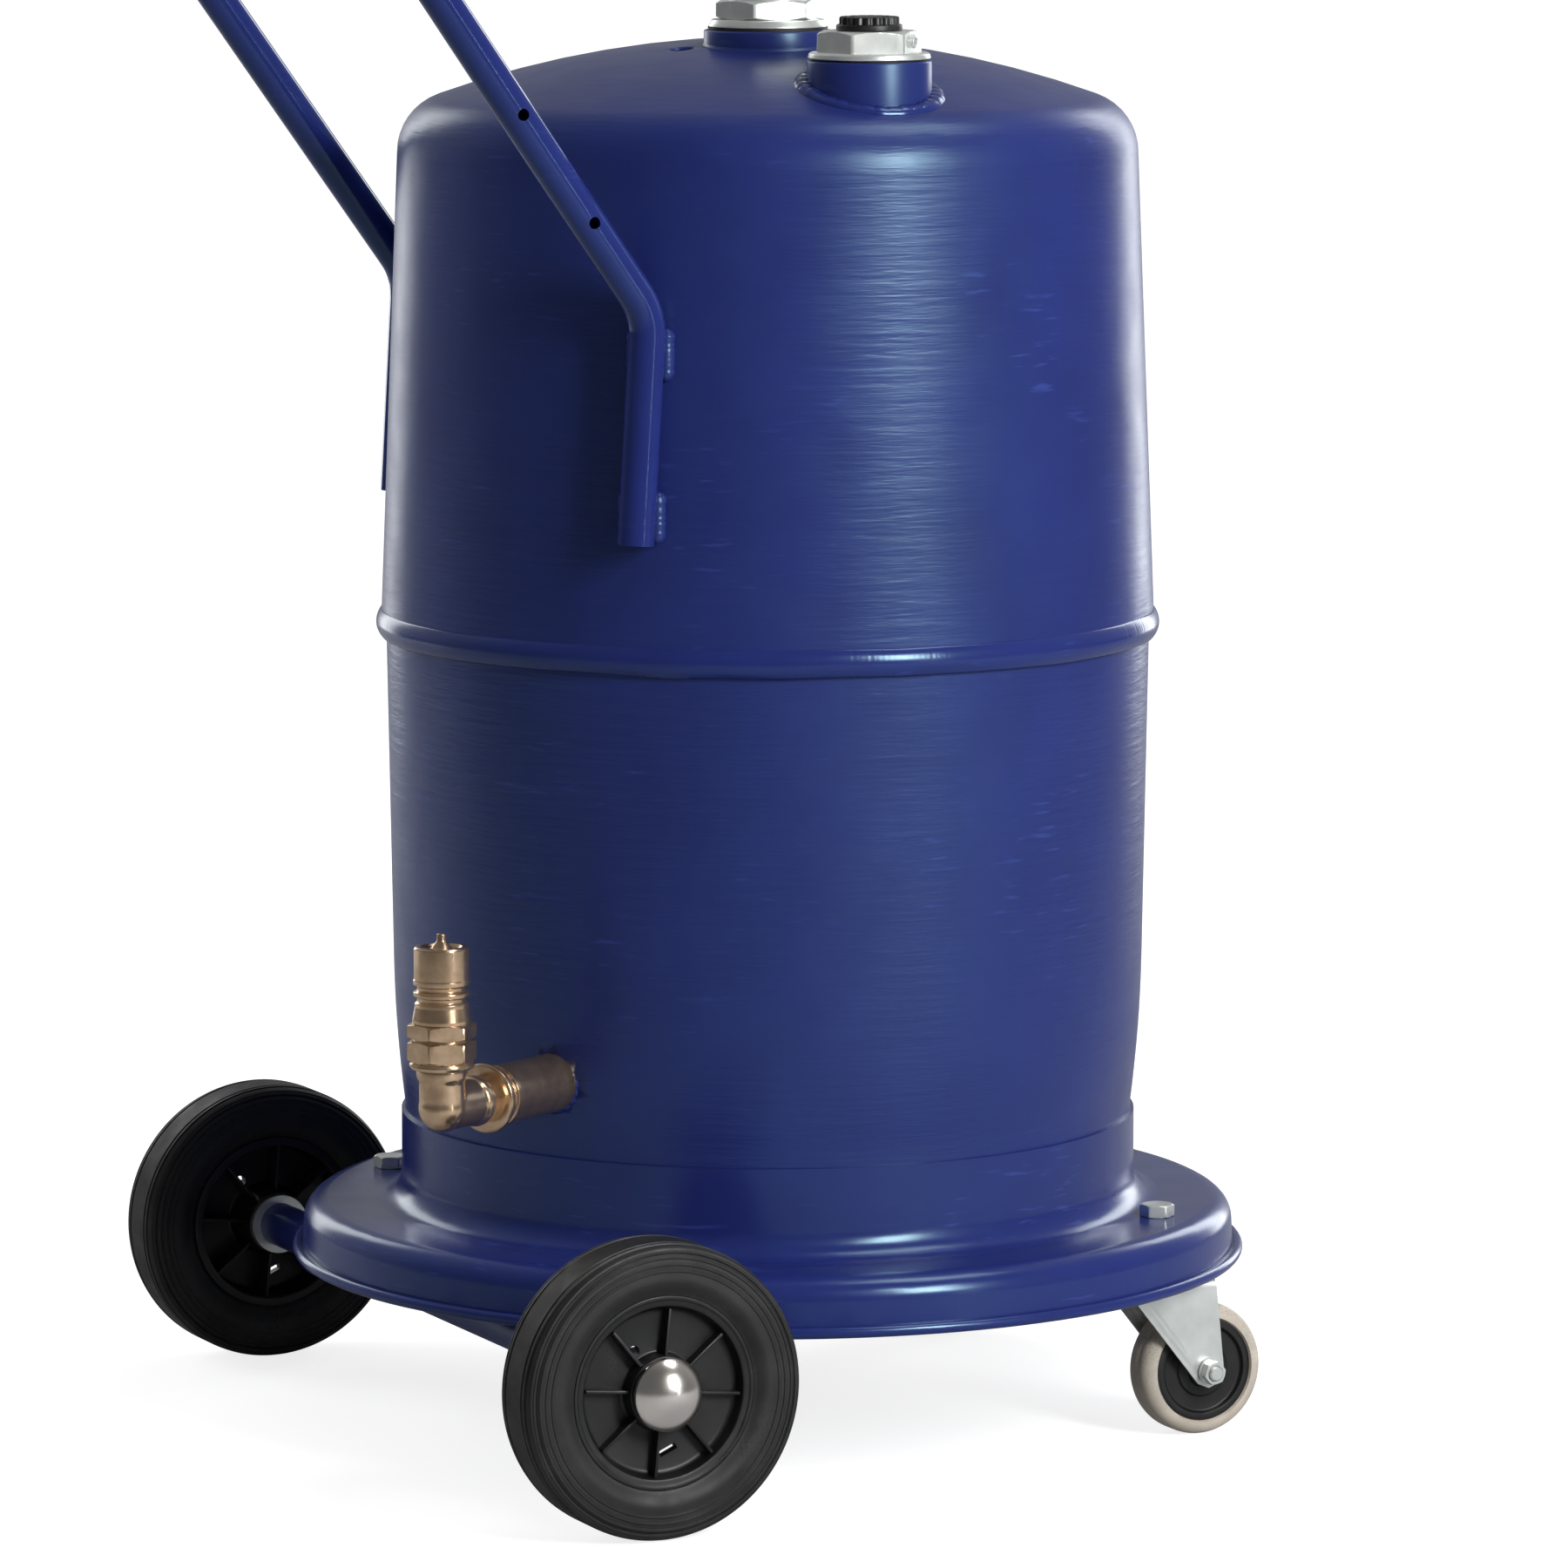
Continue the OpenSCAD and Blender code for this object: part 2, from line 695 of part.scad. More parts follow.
module filler_neck_weld() {
    reach = norm(filler_xy);
    slope = asin(reach / dome_crown_r);
    color(blue) on_tank() difference() {
        rotate([0, 0, atan2(filler_xy.y, filler_xy.x)])
            translate([reach, 0, dome_centre_z + dome_crown_r * cos(slope)])
            rotate([0, slope, 0]) rotate_extrude() translate([filler_r + 0.6, -3]) circle(r = 8);
        rotate_extrude($fn = 180) upper_outline();
        translate([filler_xy.x, filler_xy.y, 700]) cylinder(h = 100, r = filler_r);
    }
}

module filler_gasket() {
    color(black) at_filler(filler_z) ring(filler_gasket_h, 31.5, neck_bore_r - 0.05);
}

module filler_plug() {
    spigot = 20;
    flange_z0 = filler_gasket_h;
    hex_z = flange_z0 + filler_flange_h;
    color(zinc) at_filler(filler_z) difference() {
        union() {
            translate([0, 0, -spigot]) cylinder(h = spigot + flange_z0 + eps, r = neck_bore_r - 0.05);
            translate([0, 0, flange_z0]) cylinder(h = filler_flange_h, r1 = 33.5, r2 = 32.5);
            translate([0, 0, hex_z - eps]) rotate([0, 0, filler_hex_turn])
                hex_body(filler_hex_af, filler_hex_h + eps, 1);
        }
        translate([0, 0, -spigot - 1]) cylinder(h = spigot + hex_z + filler_hex_h + 2, r = vent_bore_r);
        rotate([0, 0, filler_hex_turn + 30]) translate([bleed_x, 0, hex_z + bleed_up])
            rotate([0, 90, 0]) cylinder(h = 10, r = bleed_r);
    }
}

// A small bleed screw in one flat of the plug
module bleed_screw() {
    color(zinc) at_filler(filler_z + filler_gasket_h + filler_flange_h + bleed_up)
        rotate([0, 0, filler_hex_turn + 30]) translate([bleed_x, 0, 0])
        rotate([0, 90, 0]) {
            cylinder(h = bleed_depth + eps, r = bleed_r);
            translate([0, 0, bleed_depth]) cylinder(h = 3, r = 4.2);
        }
}

// A knurled cap on a hollow stem that turns in the plug to open the vent
module vent_cap() {
    grips = 18;
    lift = 0.3;
    color(black) at_filler(plug_top_z) difference() {
        union() {
            translate([0, 0, -14]) cylinder(h = 14 + lift + eps, r = vent_bore_r - 0.05);
            translate([0, 0, lift]) cylinder(h = 3, r = 18);
            translate([0, 0, lift + 2]) cylinder(h = 4.7, r = 16.4);
            translate([0, 0, lift + 6.7]) cylinder(h = 0.7, r1 = 16.4, r2 = 15.7);
        }
        for (i = [0:grips - 1]) rotate([0, 0, 360 * i / grips])
            translate([16.9, 0, lift + 3.5]) cylinder(h = 6, r = 1.6);
        translate([0, 0, -15]) cylinder(h = 13, r = 3);
        translate([0, 0, -seal_down - seal_r / 2])
            ring(seal_r, vent_bore_r + 1, vent_bore_r - seal_r);
    }
}

module vent_seal() {
    thick = seal_r - 0.05;
    color([0.15, 0.13, 0.12]) at_filler(plug_top_z - seal_down)
        rotate_extrude() translate([vent_bore_r - 0.03 - thick / 2, 0])
            circle(r = thick / 2, $fn = 24);
}

// ---------- handle ----------

foot_dir = unit(low_corner - foot_point);
rise_dir = unit(top_corner - low_corner);
bar_dir = [-1, 0, 0];
low_side = bend_side(foot_dir, rise_dir);
top_side = bend_side(rise_dir, bar_dir);
low_reach = bend_reach(foot_dir, rise_dir, low_bend_r);
top_reach = bend_reach(rise_dir, bar_dir, top_bend_r);
low_angle = acos(foot_dir * rise_dir);
top_angle = acos(rise_dir * bar_dir);
// The first bend carries its side round with it, and the second bend turns to another side
carried_side = low_side * cos(low_angle) - foot_dir * sin(low_angle);
roll = atan2(top_side * cross(rise_dir, carried_side), top_side * carried_side);
foot_l = norm(low_corner - foot_point) - low_reach;
rise_l = norm(top_corner - low_corner) - low_reach - top_reach;
half_bar_l = top_corner.x - top_reach;

module handle_side() {
    difference() {
        in_axes(foot_point, low_side, cross(foot_dir, low_side), foot_dir) {
            ring(foot_l, tube_r, tube_in_r);
            translate([0, 0, foot_l]) tube_bend(low_angle, low_bend_r, tube_r, tube_in_r)
                rotate([0, 0, roll]) {
                    ring(rise_l, tube_r, tube_in_r);
                    translate([0, 0, rise_l]) tube_bend(top_angle, top_bend_r, tube_r, tube_in_r)
                        ring(half_bar_l, tube_r, tube_in_r);
                }
        }
        for (t = handle_hole_at) translate(low_corner + rise_dir * t)
            rotate([0, 90, 0]) cylinder(h = 20, r = handle_hole_r);
    }
}

module handle_tube() {
    color(blue) on_tank() {
        handle_side();
        mirror([1, 0, 0]) handle_side();
        translate([0, top_corner.y, top_corner.z]) rotate([0, 90, 0]) tube_joint(tube_r, tube_in_r);
    }
}

// Fillet welds on both sides of each leg, at two heights
module handle_welds() {
    bead_r = 5;
    bead_l = 29;
    bead_aside = 8.6;
    bead_inward = 8;
    aside = unit(cross(foot_dir, [-foot_point.x, -foot_point.y, 0]));
    outward = cross(foot_dir, aside);
    color(blue) on_tank() for (flip = [0, 1]) mirror([flip, 0, 0]) difference() {
        for (z = weld_heights, across = [-1, 1])
            in_axes(foot_point + foot_dir * ((z - handle_foot_z) / foot_dir.z),
                aside, outward, foot_dir)
                translate([across * bead_aside, -bead_inward, -bead_l / 2])
                cylinder(h = bead_l, r = bead_r);
        rotate_extrude($fn = 180) upper_outline();
        in_axes(foot_point, aside, outward, foot_dir) cylinder(h = 125, r = tube_r);
    }
}

// ---------- drain ----------

module at_coupling(z) {
    on_tank() rotate([0, 0, drain_angle]) translate([elbow_reach, 0, z]) children();
}

module drain_sleeve() {
    from = 196;
    to = 264;
    color(brass) on_tank() along_drain() translate([0, 0, from]) difference() {
        union() {
            cylinder(h = to - from - 3, r = 16.2);
            translate([0, 0, to - from - 3]) cylinder(h = 3, r = 16.8);
        }
        translate([0, 0, -1]) cylinder(h = to - from + 2, r = drain_pipe_r);
    }
}

module drain_elbow() {
    from = 228;
    ball = drain_pipe_r + 0.4;
    top = 250;
    color(brass) on_tank() difference() {
        union() {
            along_drain() translate([0, 0, from]) cylinder(h = elbow_reach - from, r = drain_pipe_r);
            rotate([0, 0, drain_angle]) translate([elbow_reach, 0, drain_z]) {
                cylinder(h = top - drain_z, r = drain_pipe_r);
                sphere(r = ball);
            }
        }
        along_drain() translate([0, 0, from - 1]) cylinder(h = elbow_reach - from + 1, r = drain_bore_r);
        rotate([0, 0, drain_angle]) translate([elbow_reach, 0, drain_z])
            cylinder(h = top - drain_z + 1, r = drain_bore_r + 0.2);
    }
}

module elbow_ring() {
    color(brass) on_tank() along_drain() translate([0, 0, 267.5]) ring(4.5, 19, drain_pipe_r);
}

module coupling_nut() {
    af = 33;
    turn = 16.4;
    color(brass) at_coupling(coupling_foot_z) rotate([0, 0, turn]) difference() {
        union() {
            cylinder(h = 4, r = 17.6);
            translate([0, 0, 4 - eps]) hex_body(af, 11.5, 1);
            translate([0, 0, 15]) cylinder(h = 2, r = 15.6);
            translate([0, 0, 16.5]) hex_body(af, 8.1, 1);
        }
        translate([0, 0, -1]) cylinder(h = 12, r = drain_pipe_r);
        translate([0, 0, 10]) cylinder(h = 16, r = 13);
    }
}

module coupling_body() {
    base = 263.6;
    color(brass) at_coupling(0) difference() {
        rotate_extrude() polygon([
            [0, 251], [13, 251], [13, base], [15.9, base], [15.9, base + 2], [14.6, base + 9],
            [14.6, base + 11], [13.3, base + 12], [13.3, base + 14], [15.2, base + 14.6],
            [15.2, base + 17], [13.2, base + 18], [13.2, base + 20], [15.3, base + 21],
            [15.3, base + 23.4], [14.9, base + 24], [14.9, coupling_top_z - 1],
            [14.0, coupling_top_z], [0, coupling_top_z]]);
        translate([0, 0, 250]) cylinder(h = coupling_top_z - 4 - 250, r = 10);
        translate([0, 0, coupling_top_z - 5]) cylinder(h = 6, r = poppet_seat_r);
        translate([0, 0, coupling_top_z - 1.2]) cylinder(h = 1.21, r1 = 10, r2 = 11.2);
    }
}

// The valve that the mating half pushes down
module coupling_poppet() {
    head_h = 4;
    land_h = 3.6;
    cone_h = 3.4;
    pin_r = 2.5;
    pin_up = 7.2;
    stem_foot_z = guide_z - 3;
    color(brass) at_coupling(0) union() {
        translate([0, 0, poppet_head_z - head_h]) cylinder(h = head_h, r = 9.2);
        translate([0, 0, poppet_head_z - 1]) cylinder(h = land_h + 1, r = poppet_seat_r - 0.4);
        translate([0, 0, poppet_head_z + land_h - eps])
            cylinder(h = cone_h, r1 = poppet_seat_r - 0.4, r2 = pin_r);
        translate([0, 0, poppet_head_z]) cylinder(h = coupling_top_z + pin_up - poppet_head_z, r = pin_r);
        translate([0, 0, stem_foot_z]) cylinder(h = poppet_head_z - head_h / 2 - stem_foot_z, r = stem_r);
    }
}

module poppet_seal() {
    color(black) at_coupling(poppet_head_z - 2) ring(1.6, 9.85, 9.2);
}

// A spoked guide for the poppet's stem, pressed in the body
module poppet_guide() {
    color(brass) at_coupling(guide_z) {
        ring(guide_h, 10, 8.6);
        difference() {
            union() {
                cylinder(h = guide_h, r = 4);
                for (i = [0:2]) rotate([0, 0, 120 * i]) translate([3, -1, 0]) cube([6, 2, guide_h]);
            }
            translate([0, 0, -1]) cylinder(h = guide_h + 2, r = stem_r + 0.05);
        }
    }
}

spring_turns = 6;
spring_wire_r = 0.6;
spring_low = guide_z + guide_h + spring_wire_r;
spring_high = poppet_head_z - 4 - spring_wire_r;
spring_r = 5.4;
spring_sides = 8;
spring_steps = 14 * spring_turns;

function spring_ring(i) =
    let (t = i / spring_steps, turn = 360 * spring_turns * t,
        z = spring_low + (spring_high - spring_low) * t)
    [for (k = [0:spring_sides - 1]) let (s = 360 * k / spring_sides, r = spring_r + spring_wire_r * cos(s))
        [r * cos(turn), r * sin(turn), z + spring_wire_r * sin(s)]];

module poppet_spring() {
    n = spring_sides;
    points = [for (i = [0:spring_steps]) for (p = spring_ring(i)) p];
    walls = [for (i = [0:spring_steps - 1]) for (k = [0:n - 1]) let (a = i * n, b = a + n, j = (k + 1) % n)
        each [[a + k, b + k, b + j], [a + k, b + j, a + j]]];
    first = [for (k = [0:n - 1]) k];
    last = [for (k = [n - 1:-1:0]) spring_steps * n + k];
    color(steel) at_coupling(0) polyhedron(points, concat(walls, [first, last]), convexity = 8);
}

// ---------- nodes ----------

upper_shell();
lower_shell();
seam_weld();
base_ring();
outlet_neck();
outlet_gasket();
outlet_adaptor();
gauge_port_plug();
filler_neck();
filler_neck_weld();
filler_gasket();
filler_plug();
bleed_screw();
vent_cap();
vent_seal();
handle_tube();
handle_welds();
drain_sleeve();
drain_elbow();
elbow_ring();
coupling_nut();
coupling_body();
coupling_poppet();
poppet_spring();
poppet_seal();
poppet_guide();
axle_tube();
axle_shaft();
axle_bracket(-1);  // axle_bracket_left
axle_bracket(1);  // axle_bracket_right
flange_bolts();
flange_nuts();
castor_bosses();
castor_heads();
axle_washers();
hub_caps();
wheel_tyre(-1);  // wheel_tyre_left
wheel_tyre(1);  // wheel_tyre_right
wheel_hub(-1);  // wheel_hub_left
wheel_hub(1);  // wheel_hub_right
wheel_bush(-1);  // wheel_bush_left
wheel_bush(1);  // wheel_bush_right
castor_fork(-1);  // castor_fork_left
castor_fork(1);  // castor_fork_right
castor_balls(-1);  // castor_balls_left
castor_balls(1);  // castor_balls_right
castor_bolt(-1);  // castor_bolt_left
castor_bolt(1);  // castor_bolt_right
castor_nut(-1);  // castor_nut_left
castor_nut(1);  // castor_nut_right
castor_spacer(-1);  // castor_spacer_left
castor_spacer(1);  // castor_spacer_right
castor_hub(-1);  // castor_hub_left
castor_hub(1);  // castor_hub_right
castor_tyre(-1);  // castor_tyre_left
castor_tyre(1);  // castor_tyre_right
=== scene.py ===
"""The looks of a wheeled steel pressure tank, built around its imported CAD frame.

Lengths below are in millimetres, and MM turns them into Blender's metres. Places come from the frame:
the boxes of its nodes and the joints of its record. A turned piece is drawn about its own local Z.
"""
import json
import math
import random

import bmesh
import bpy
from mathutils import Matrix, Vector


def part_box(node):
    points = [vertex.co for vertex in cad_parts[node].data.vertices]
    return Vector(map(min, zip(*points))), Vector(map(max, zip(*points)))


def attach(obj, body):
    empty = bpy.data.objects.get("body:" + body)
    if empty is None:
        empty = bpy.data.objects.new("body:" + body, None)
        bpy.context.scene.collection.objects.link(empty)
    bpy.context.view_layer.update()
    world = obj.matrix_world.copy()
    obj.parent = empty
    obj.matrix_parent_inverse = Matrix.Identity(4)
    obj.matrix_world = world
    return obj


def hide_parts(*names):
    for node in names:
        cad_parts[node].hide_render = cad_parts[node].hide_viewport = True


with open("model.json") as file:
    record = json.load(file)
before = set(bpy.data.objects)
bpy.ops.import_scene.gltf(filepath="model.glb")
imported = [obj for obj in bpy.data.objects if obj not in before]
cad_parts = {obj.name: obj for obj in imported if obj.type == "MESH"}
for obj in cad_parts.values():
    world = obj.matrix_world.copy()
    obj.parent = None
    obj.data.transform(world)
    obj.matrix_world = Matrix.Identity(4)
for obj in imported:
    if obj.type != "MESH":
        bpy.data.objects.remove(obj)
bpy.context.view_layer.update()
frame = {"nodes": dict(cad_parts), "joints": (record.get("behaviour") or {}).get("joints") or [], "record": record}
MM = 0.001
X = Vector((1, 0, 0))
Y = Vector((0, 1, 0))
UP = Vector((0, 0, 1))
SIDES = {"left": -1, "right": 1}  # each side's direction along X
JOINTS = {j["name"]: j for j in frame["joints"]}


def box_mm(node):
    low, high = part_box(node)
    return low / MM, high / MM


def centre_mm(node):
    low, high = box_mm(node)
    return (low + high) / 2


def joint_mm(name):
    return Vector(JOINTS[name]["pos_m"]) / MM


TANK = centre_mm("base_ring")
TANK.z = 0

# The tank's upper surface
SEAM_R = 217.2
SEAM_Z = 452
DOME_TOP = 778
CROWN_R = 548
KNUCKLE_R = 33
SHOULDER_R = 206.8
CROWN_Z = DOME_TOP - CROWN_R
KNUCKLE_X = SHOULDER_R - KNUCKLE_R
KNUCKLE_Z = CROWN_Z + math.sqrt((CROWN_R - KNUCKLE_R) ** 2 - KNUCKLE_X ** 2)
KNUCKLE_FROM = KNUCKLE_X * CROWN_R / (CROWN_R - KNUCKLE_R)


def dome_height(x, y):
    """Height of the dome's surface at a point of the row frame."""
    rho = math.hypot(x - TANK.x, y - TANK.y)
    if rho < KNUCKLE_FROM:
        return CROWN_Z + math.sqrt(CROWN_R ** 2 - rho ** 2)
    return KNUCKLE_Z + math.sqrt(max(0, KNUCKLE_R ** 2 - (rho - KNUCKLE_X) ** 2))


def wall_radius(z):
    """Radius of the upper shell's wall at a height."""
    return SEAM_R + (SHOULDER_R - SEAM_R) * (z - SEAM_Z) / (KNUCKLE_Z - SEAM_Z)


# ---------- camera, floor and light ----------

CAMERA_FROM_AXIS = Vector((4266.8, -2046.3, 1001.3))
CAMERA_AZIMUTH = 64.378
CAMERA_PITCH = 7.742
LENS = 194.44
LENS_SHIFT = 0.0104


def make_camera():
    camera = bpy.data.objects.new("camera", bpy.data.cameras.new("camera"))
    bpy.context.scene.collection.objects.link(camera)
    camera.location = (TANK + CAMERA_FROM_AXIS) * MM
    camera.rotation_euler = (math.radians(90 - CAMERA_PITCH), 0, math.radians(CAMERA_AZIMUTH))
    camera.data.lens = LENS
    camera.data.sensor_width = 36
    camera.data.shift_x = LENS_SHIFT
    camera.data.clip_end = 200
    bpy.context.scene.camera = camera


LIGHT_TARGET = 0.45
WHITE = (1, 1, 1)
COOL = (0.82, 0.88, 1.0)
# Azimuth round the tank from +X, height, distance and (width, height) in metres, power in watts, colour,
# and whether it shows in reflections
LIGHTS = {
    "key": (14, 1.5, 2.7, (0.55, 1.1), 72, WHITE, True),
    "strip": (22, 1.2, 2.7, (0.04, 2.2), 5, WHITE, True),
    "right": (40, 1.3, 3.6, (2.4, 2.4), 38, COOL, False),
    "left": (-142, 1.4, 3.2, (1.4, 2.6), 64, WHITE, False),
    "left_rim": (-174, 1.2, 3.4, (0.9, 2.4), 20, WHITE, True),
    "right_rim": (122, 1.2, 3.4, (0.9, 2.4), 30, WHITE, True),
    "top": (60, 3.2, 1.2, (1.0, 1.0), 20, WHITE, True),
}


def make_light(name, azimuth, height, distance, size, power, colour, glossy):
    """A rectangular soft light that faces the tank."""
    turn = math.radians(azimuth)
    target = TANK * MM + Vector((0, 0, LIGHT_TARGET))
    light = bpy.data.objects.new(name, bpy.data.lights.new(name, "AREA"))
    bpy.context.scene.collection.objects.link(light)
    light.location = TANK * MM + Vector((distance * math.cos(turn), distance * math.sin(turn), height))
    light.rotation_mode = "QUATERNION"
    light.rotation_quaternion = (target - light.location).to_track_quat("-Z", "Y")
    light.data.shape = "RECTANGLE"
    light.data.size, light.data.size_y = size
    light.data.energy = power
    light.data.color = colour
    light.visible_glossy = glossy


FLOOR_REACH = 60
FLOOR_GREY = 0.4
FLOOR_BLUE = 1.01
FLOOR_GLOW = (0.8, 1.0)
FLOOR_GLOW_FROM = (0.9, 4.5)


def make_floor():
    """A pale floor that the camera sees glow, brighter with distance, so that it runs into the backdrop."""
    mesh = bpy.data.meshes.new("floor")
    corners = [(x * FLOOR_REACH, y * FLOOR_REACH, 0) for x, y in ((-1, -1), (1, -1), (1, 1), (-1, 1))]
    mesh.from_pydata(corners, [], [(0, 1, 2, 3)])
    floor = bpy.data.objects.new("floor", mesh)
    bpy.context.scene.collection.objects.link(floor)
    paint = Shader("floor", roughness=0.9)
    paint.set("Base Color", (FLOOR_GREY, FLOOR_GREY, FLOOR_GREY * FLOOR_BLUE, 1))
    paint.set("Emission Color", (1, 1, 1, 1))
    seen = paint.node("ShaderNodeLightPath")
    away = paint.node("ShaderNodeVectorMath", {0: paint.place}, operation="LENGTH")
    glow = paint.range(away.outputs["Value"], *FLOOR_GLOW_FROM, *FLOOR_GLOW)
    paint.link(paint.multiply(seen.outputs["Is Camera Ray"], glow), "Emission Strength")
    mesh.materials.append(paint.material)


WORLD_DIM = 0.11
WORLD_BRIGHT = 0.34
WORLD_SPREAD = (-0.3, 0.9)
WORLD_RISE = 0.25
BACKDROP = 1.0


def make_world():
    """Soft light that is brightest behind the tank and dimmest on the camera's side, before white."""
    world = bpy.data.worlds.new("studio")
    bpy.context.scene.world = world
    world.use_nodes = True
    tree = world.node_tree
    coordinates = tree.nodes.new("ShaderNodeTexCoord")
    along = tree.nodes.new("ShaderNodeVectorMath")
    along.operation = "DOT_PRODUCT"
    tree.links.new(coordinates.outputs["Generated"], along.inputs[0])
    turn = math.radians(CAMERA_AZIMUTH + 90)
    along.inputs[1].default_value = (math.cos(turn), math.sin(turn), WORLD_RISE)
    level = tree.nodes.new("ShaderNodeMapRange")
    level.interpolation_type = "SMOOTHSTEP"
    tree.links.new(along.outputs["Value"], level.inputs["Value"])
    level.inputs["From Min"].default_value, level.inputs["From Max"].default_value = WORLD_SPREAD
    level.inputs["To Min"].default_value = WORLD_DIM
    level.inputs["To Max"].default_value = WORLD_BRIGHT
    seen = tree.nodes.new("ShaderNodeLightPath")
    strength = tree.nodes.new("ShaderNodeMix")
    tree.links.new(seen.outputs["Is Camera Ray"], strength.inputs["Factor"])
    tree.links.new(level.outputs["Result"], strength.inputs["A"])
    strength.inputs["B"].default_value = BACKDROP
    background = tree.nodes["Background"]
    background.inputs["Color"].default_value = (1, 1, 1, 1)
    tree.links.new(strength.outputs["Result"], background.inputs["Strength"])


def make_stage():
    make_floor()
    make_world()
    for name, settings in LIGHTS.items():
        make_light(name, *settings)
    bpy.context.scene.view_settings.view_transform = "Standard"


# ---------- materials ----------

class Shader:
    """A material with a principled shader, whose other nodes are added one call at a time."""

    def __init__(self, name, roughness=0.5, metallic=0.0, **constants):
        self.material = bpy.data.materials.new(name)
        self.material.use_nodes = True
        self.tree = self.material.node_tree
        self.bsdf = self.tree.nodes["Principled BSDF"]
        self.set("Roughness", roughness)
        self.set("Metallic", metallic)
        for key, value in constants.items():
            self.set(key.replace("_", " ").title(), value)
        self.place = self.node("ShaderNodeTexCoord").outputs["Object"]
        self.normal = None

    def set(self, socket, value):
        self.bsdf.inputs[socket].default_value = value

    def link(self, output, socket):
        self.tree.links.new(output, self.bsdf.inputs[socket])

    def node(self, kind, inputs=None, **settings):
        """Adds a node, with each input linked if its value is a node's output and set if not."""
        made = self.tree.nodes.new(kind)
        for key, value in settings.items():
            setattr(made, key, value)
        for key, value in (inputs or {}).items():
            if isinstance(value, bpy.types.NodeSocket):
                self.tree.links.new(value, made.inputs[key])
            else:
                made.inputs[key].default_value = value
        return made

    def noise(self, size, stretch=(1, 1, 1), detail=3.0, rough=0.5, shift=0.0):
        """Noise whose lumps are about size mm across, longer along an axis by its stretch."""
        spread = tuple(1 / (size * MM * s) for s in stretch)
        mapping = self.node("ShaderNodeMapping", {"Vector": self.place, "Location": (shift, shift, shift),
                                                  "Scale": spread})
        inputs = {"Vector": mapping.outputs[0], "Scale": 1.0, "Detail": detail, "Roughness": rough}
        return self.node("ShaderNodeTexNoise", inputs).outputs["Fac"]

    def range(self, value, low, high, to_low=0.0, to_high=1.0):
        """Maps a value from one span onto another, held at its ends."""
        inputs = {"Value": value, "From Min": low, "From Max": high, "To Min": to_low, "To Max": to_high}
        return self.node("ShaderNodeMapRange", inputs).outputs["Result"]

    def multiply(self, a, b):
        return self.node("ShaderNodeMath", {0: a, 1: b}, operation="MULTIPLY").outputs[0]

    def mix(self, factor, a, b):
        """A colour between a and b, each a colour or a node's output."""
        made = self.node("ShaderNodeMix", {"Factor": factor}, data_type="RGBA")
        for socket, value in ((6, a), (7, b)):
            if isinstance(value, bpy.types.NodeSocket):
                self.tree.links.new(value, made.inputs[socket])
            else:
                made.inputs[socket].default_value = (*value, 1)
        return made.outputs[2]

    def bump(self, height, depth, strength=1.0):
        """Adds relief of that depth in mm on top of any before it."""
        inputs = {"Height": height, "Distance": depth * MM, "Strength": strength}
        if self.normal is not None:
            inputs["Normal"] = self.normal
        self.normal = self.node("ShaderNodeBump", inputs).outputs["Normal"]
        self.link(self.normal, "Normal")


PAINT_DARK = (0.0125, 0.0190, 0.118)
PAINT_LIGHT = (0.0150, 0.0235, 0.142)
PAINT_SCUFF = (0.024, 0.038, 0.19)
PAINT_SHEEN = (0.58, 0.9, 1.0, 1)
# A roughness that drifts across 0.274 gets an edge drawn there by the denoiser, so each keeps to one side
PAINT_ROUGHNESS = (0.285, 0.37)


def blue_paint(name, rippled=False, gloss=0.0, peel=2.2):
    """Satin dark blue enamel with lumps of peel mm, and faint drawing marks round where it is rippled."""
    paint = Shader(name, specular_tint=PAINT_SHEEN)
    base = paint.mix(paint.range(paint.noise(70, detail=4), 0.3, 0.7), PAINT_DARK, PAINT_LIGHT)
    scratches = paint.range(paint.noise(1.0, (26, 26, 3), detail=2, shift=3), 0.62, 0.72)
    handled = paint.range(paint.noise(90, shift=11), 0.5, 0.62)
    paint.link(paint.mix(paint.multiply(scratches, handled), base, PAINT_SCUFF), "Base Color")
    smooth, dull = PAINT_ROUGHNESS
    paint.link(paint.range(paint.noise(30, detail=1, shift=7), 0.1, 0.9, smooth - gloss, dull - gloss),
               "Roughness")
    paint.bump(paint.noise(peel, detail=1), 0.02, 0.5)
    if rippled:
        paint.bump(paint.noise(1.0, (60, 60, 4.5), detail=4, rough=0.62), 0.36, 1.0)
        paint.bump(paint.noise(1.0, (110, 110, 26), detail=1, shift=5), 0.5, 0.5)
    return paint.material


def metal(name, dark, light, roughness, spread, size, metallic=1.0, grain=0.3):
    """Metal in two tones that drift over size mm, with fine scratches."""
    paint = Shader(name, metallic=metallic)
    patch = paint.range(paint.noise(size, detail=5, rough=0.6), 0.3, 0.7)
    paint.link(paint.mix(patch, dark, light), "Base Color")
    dullness = paint.range(paint.noise(size / 2, detail=1, shift=2), 0.2, 0.8, roughness, roughness + spread)
    paint.link(dullness, "Roughness")
    paint.bump(paint.noise(0.4, (1, 12, 3), detail=2), 0.008, grain)
    paint.bump(paint.noise(4, detail=2, shift=4), 0.03, grain)
    return paint.material


MOULDED_SPREAD = 0.07


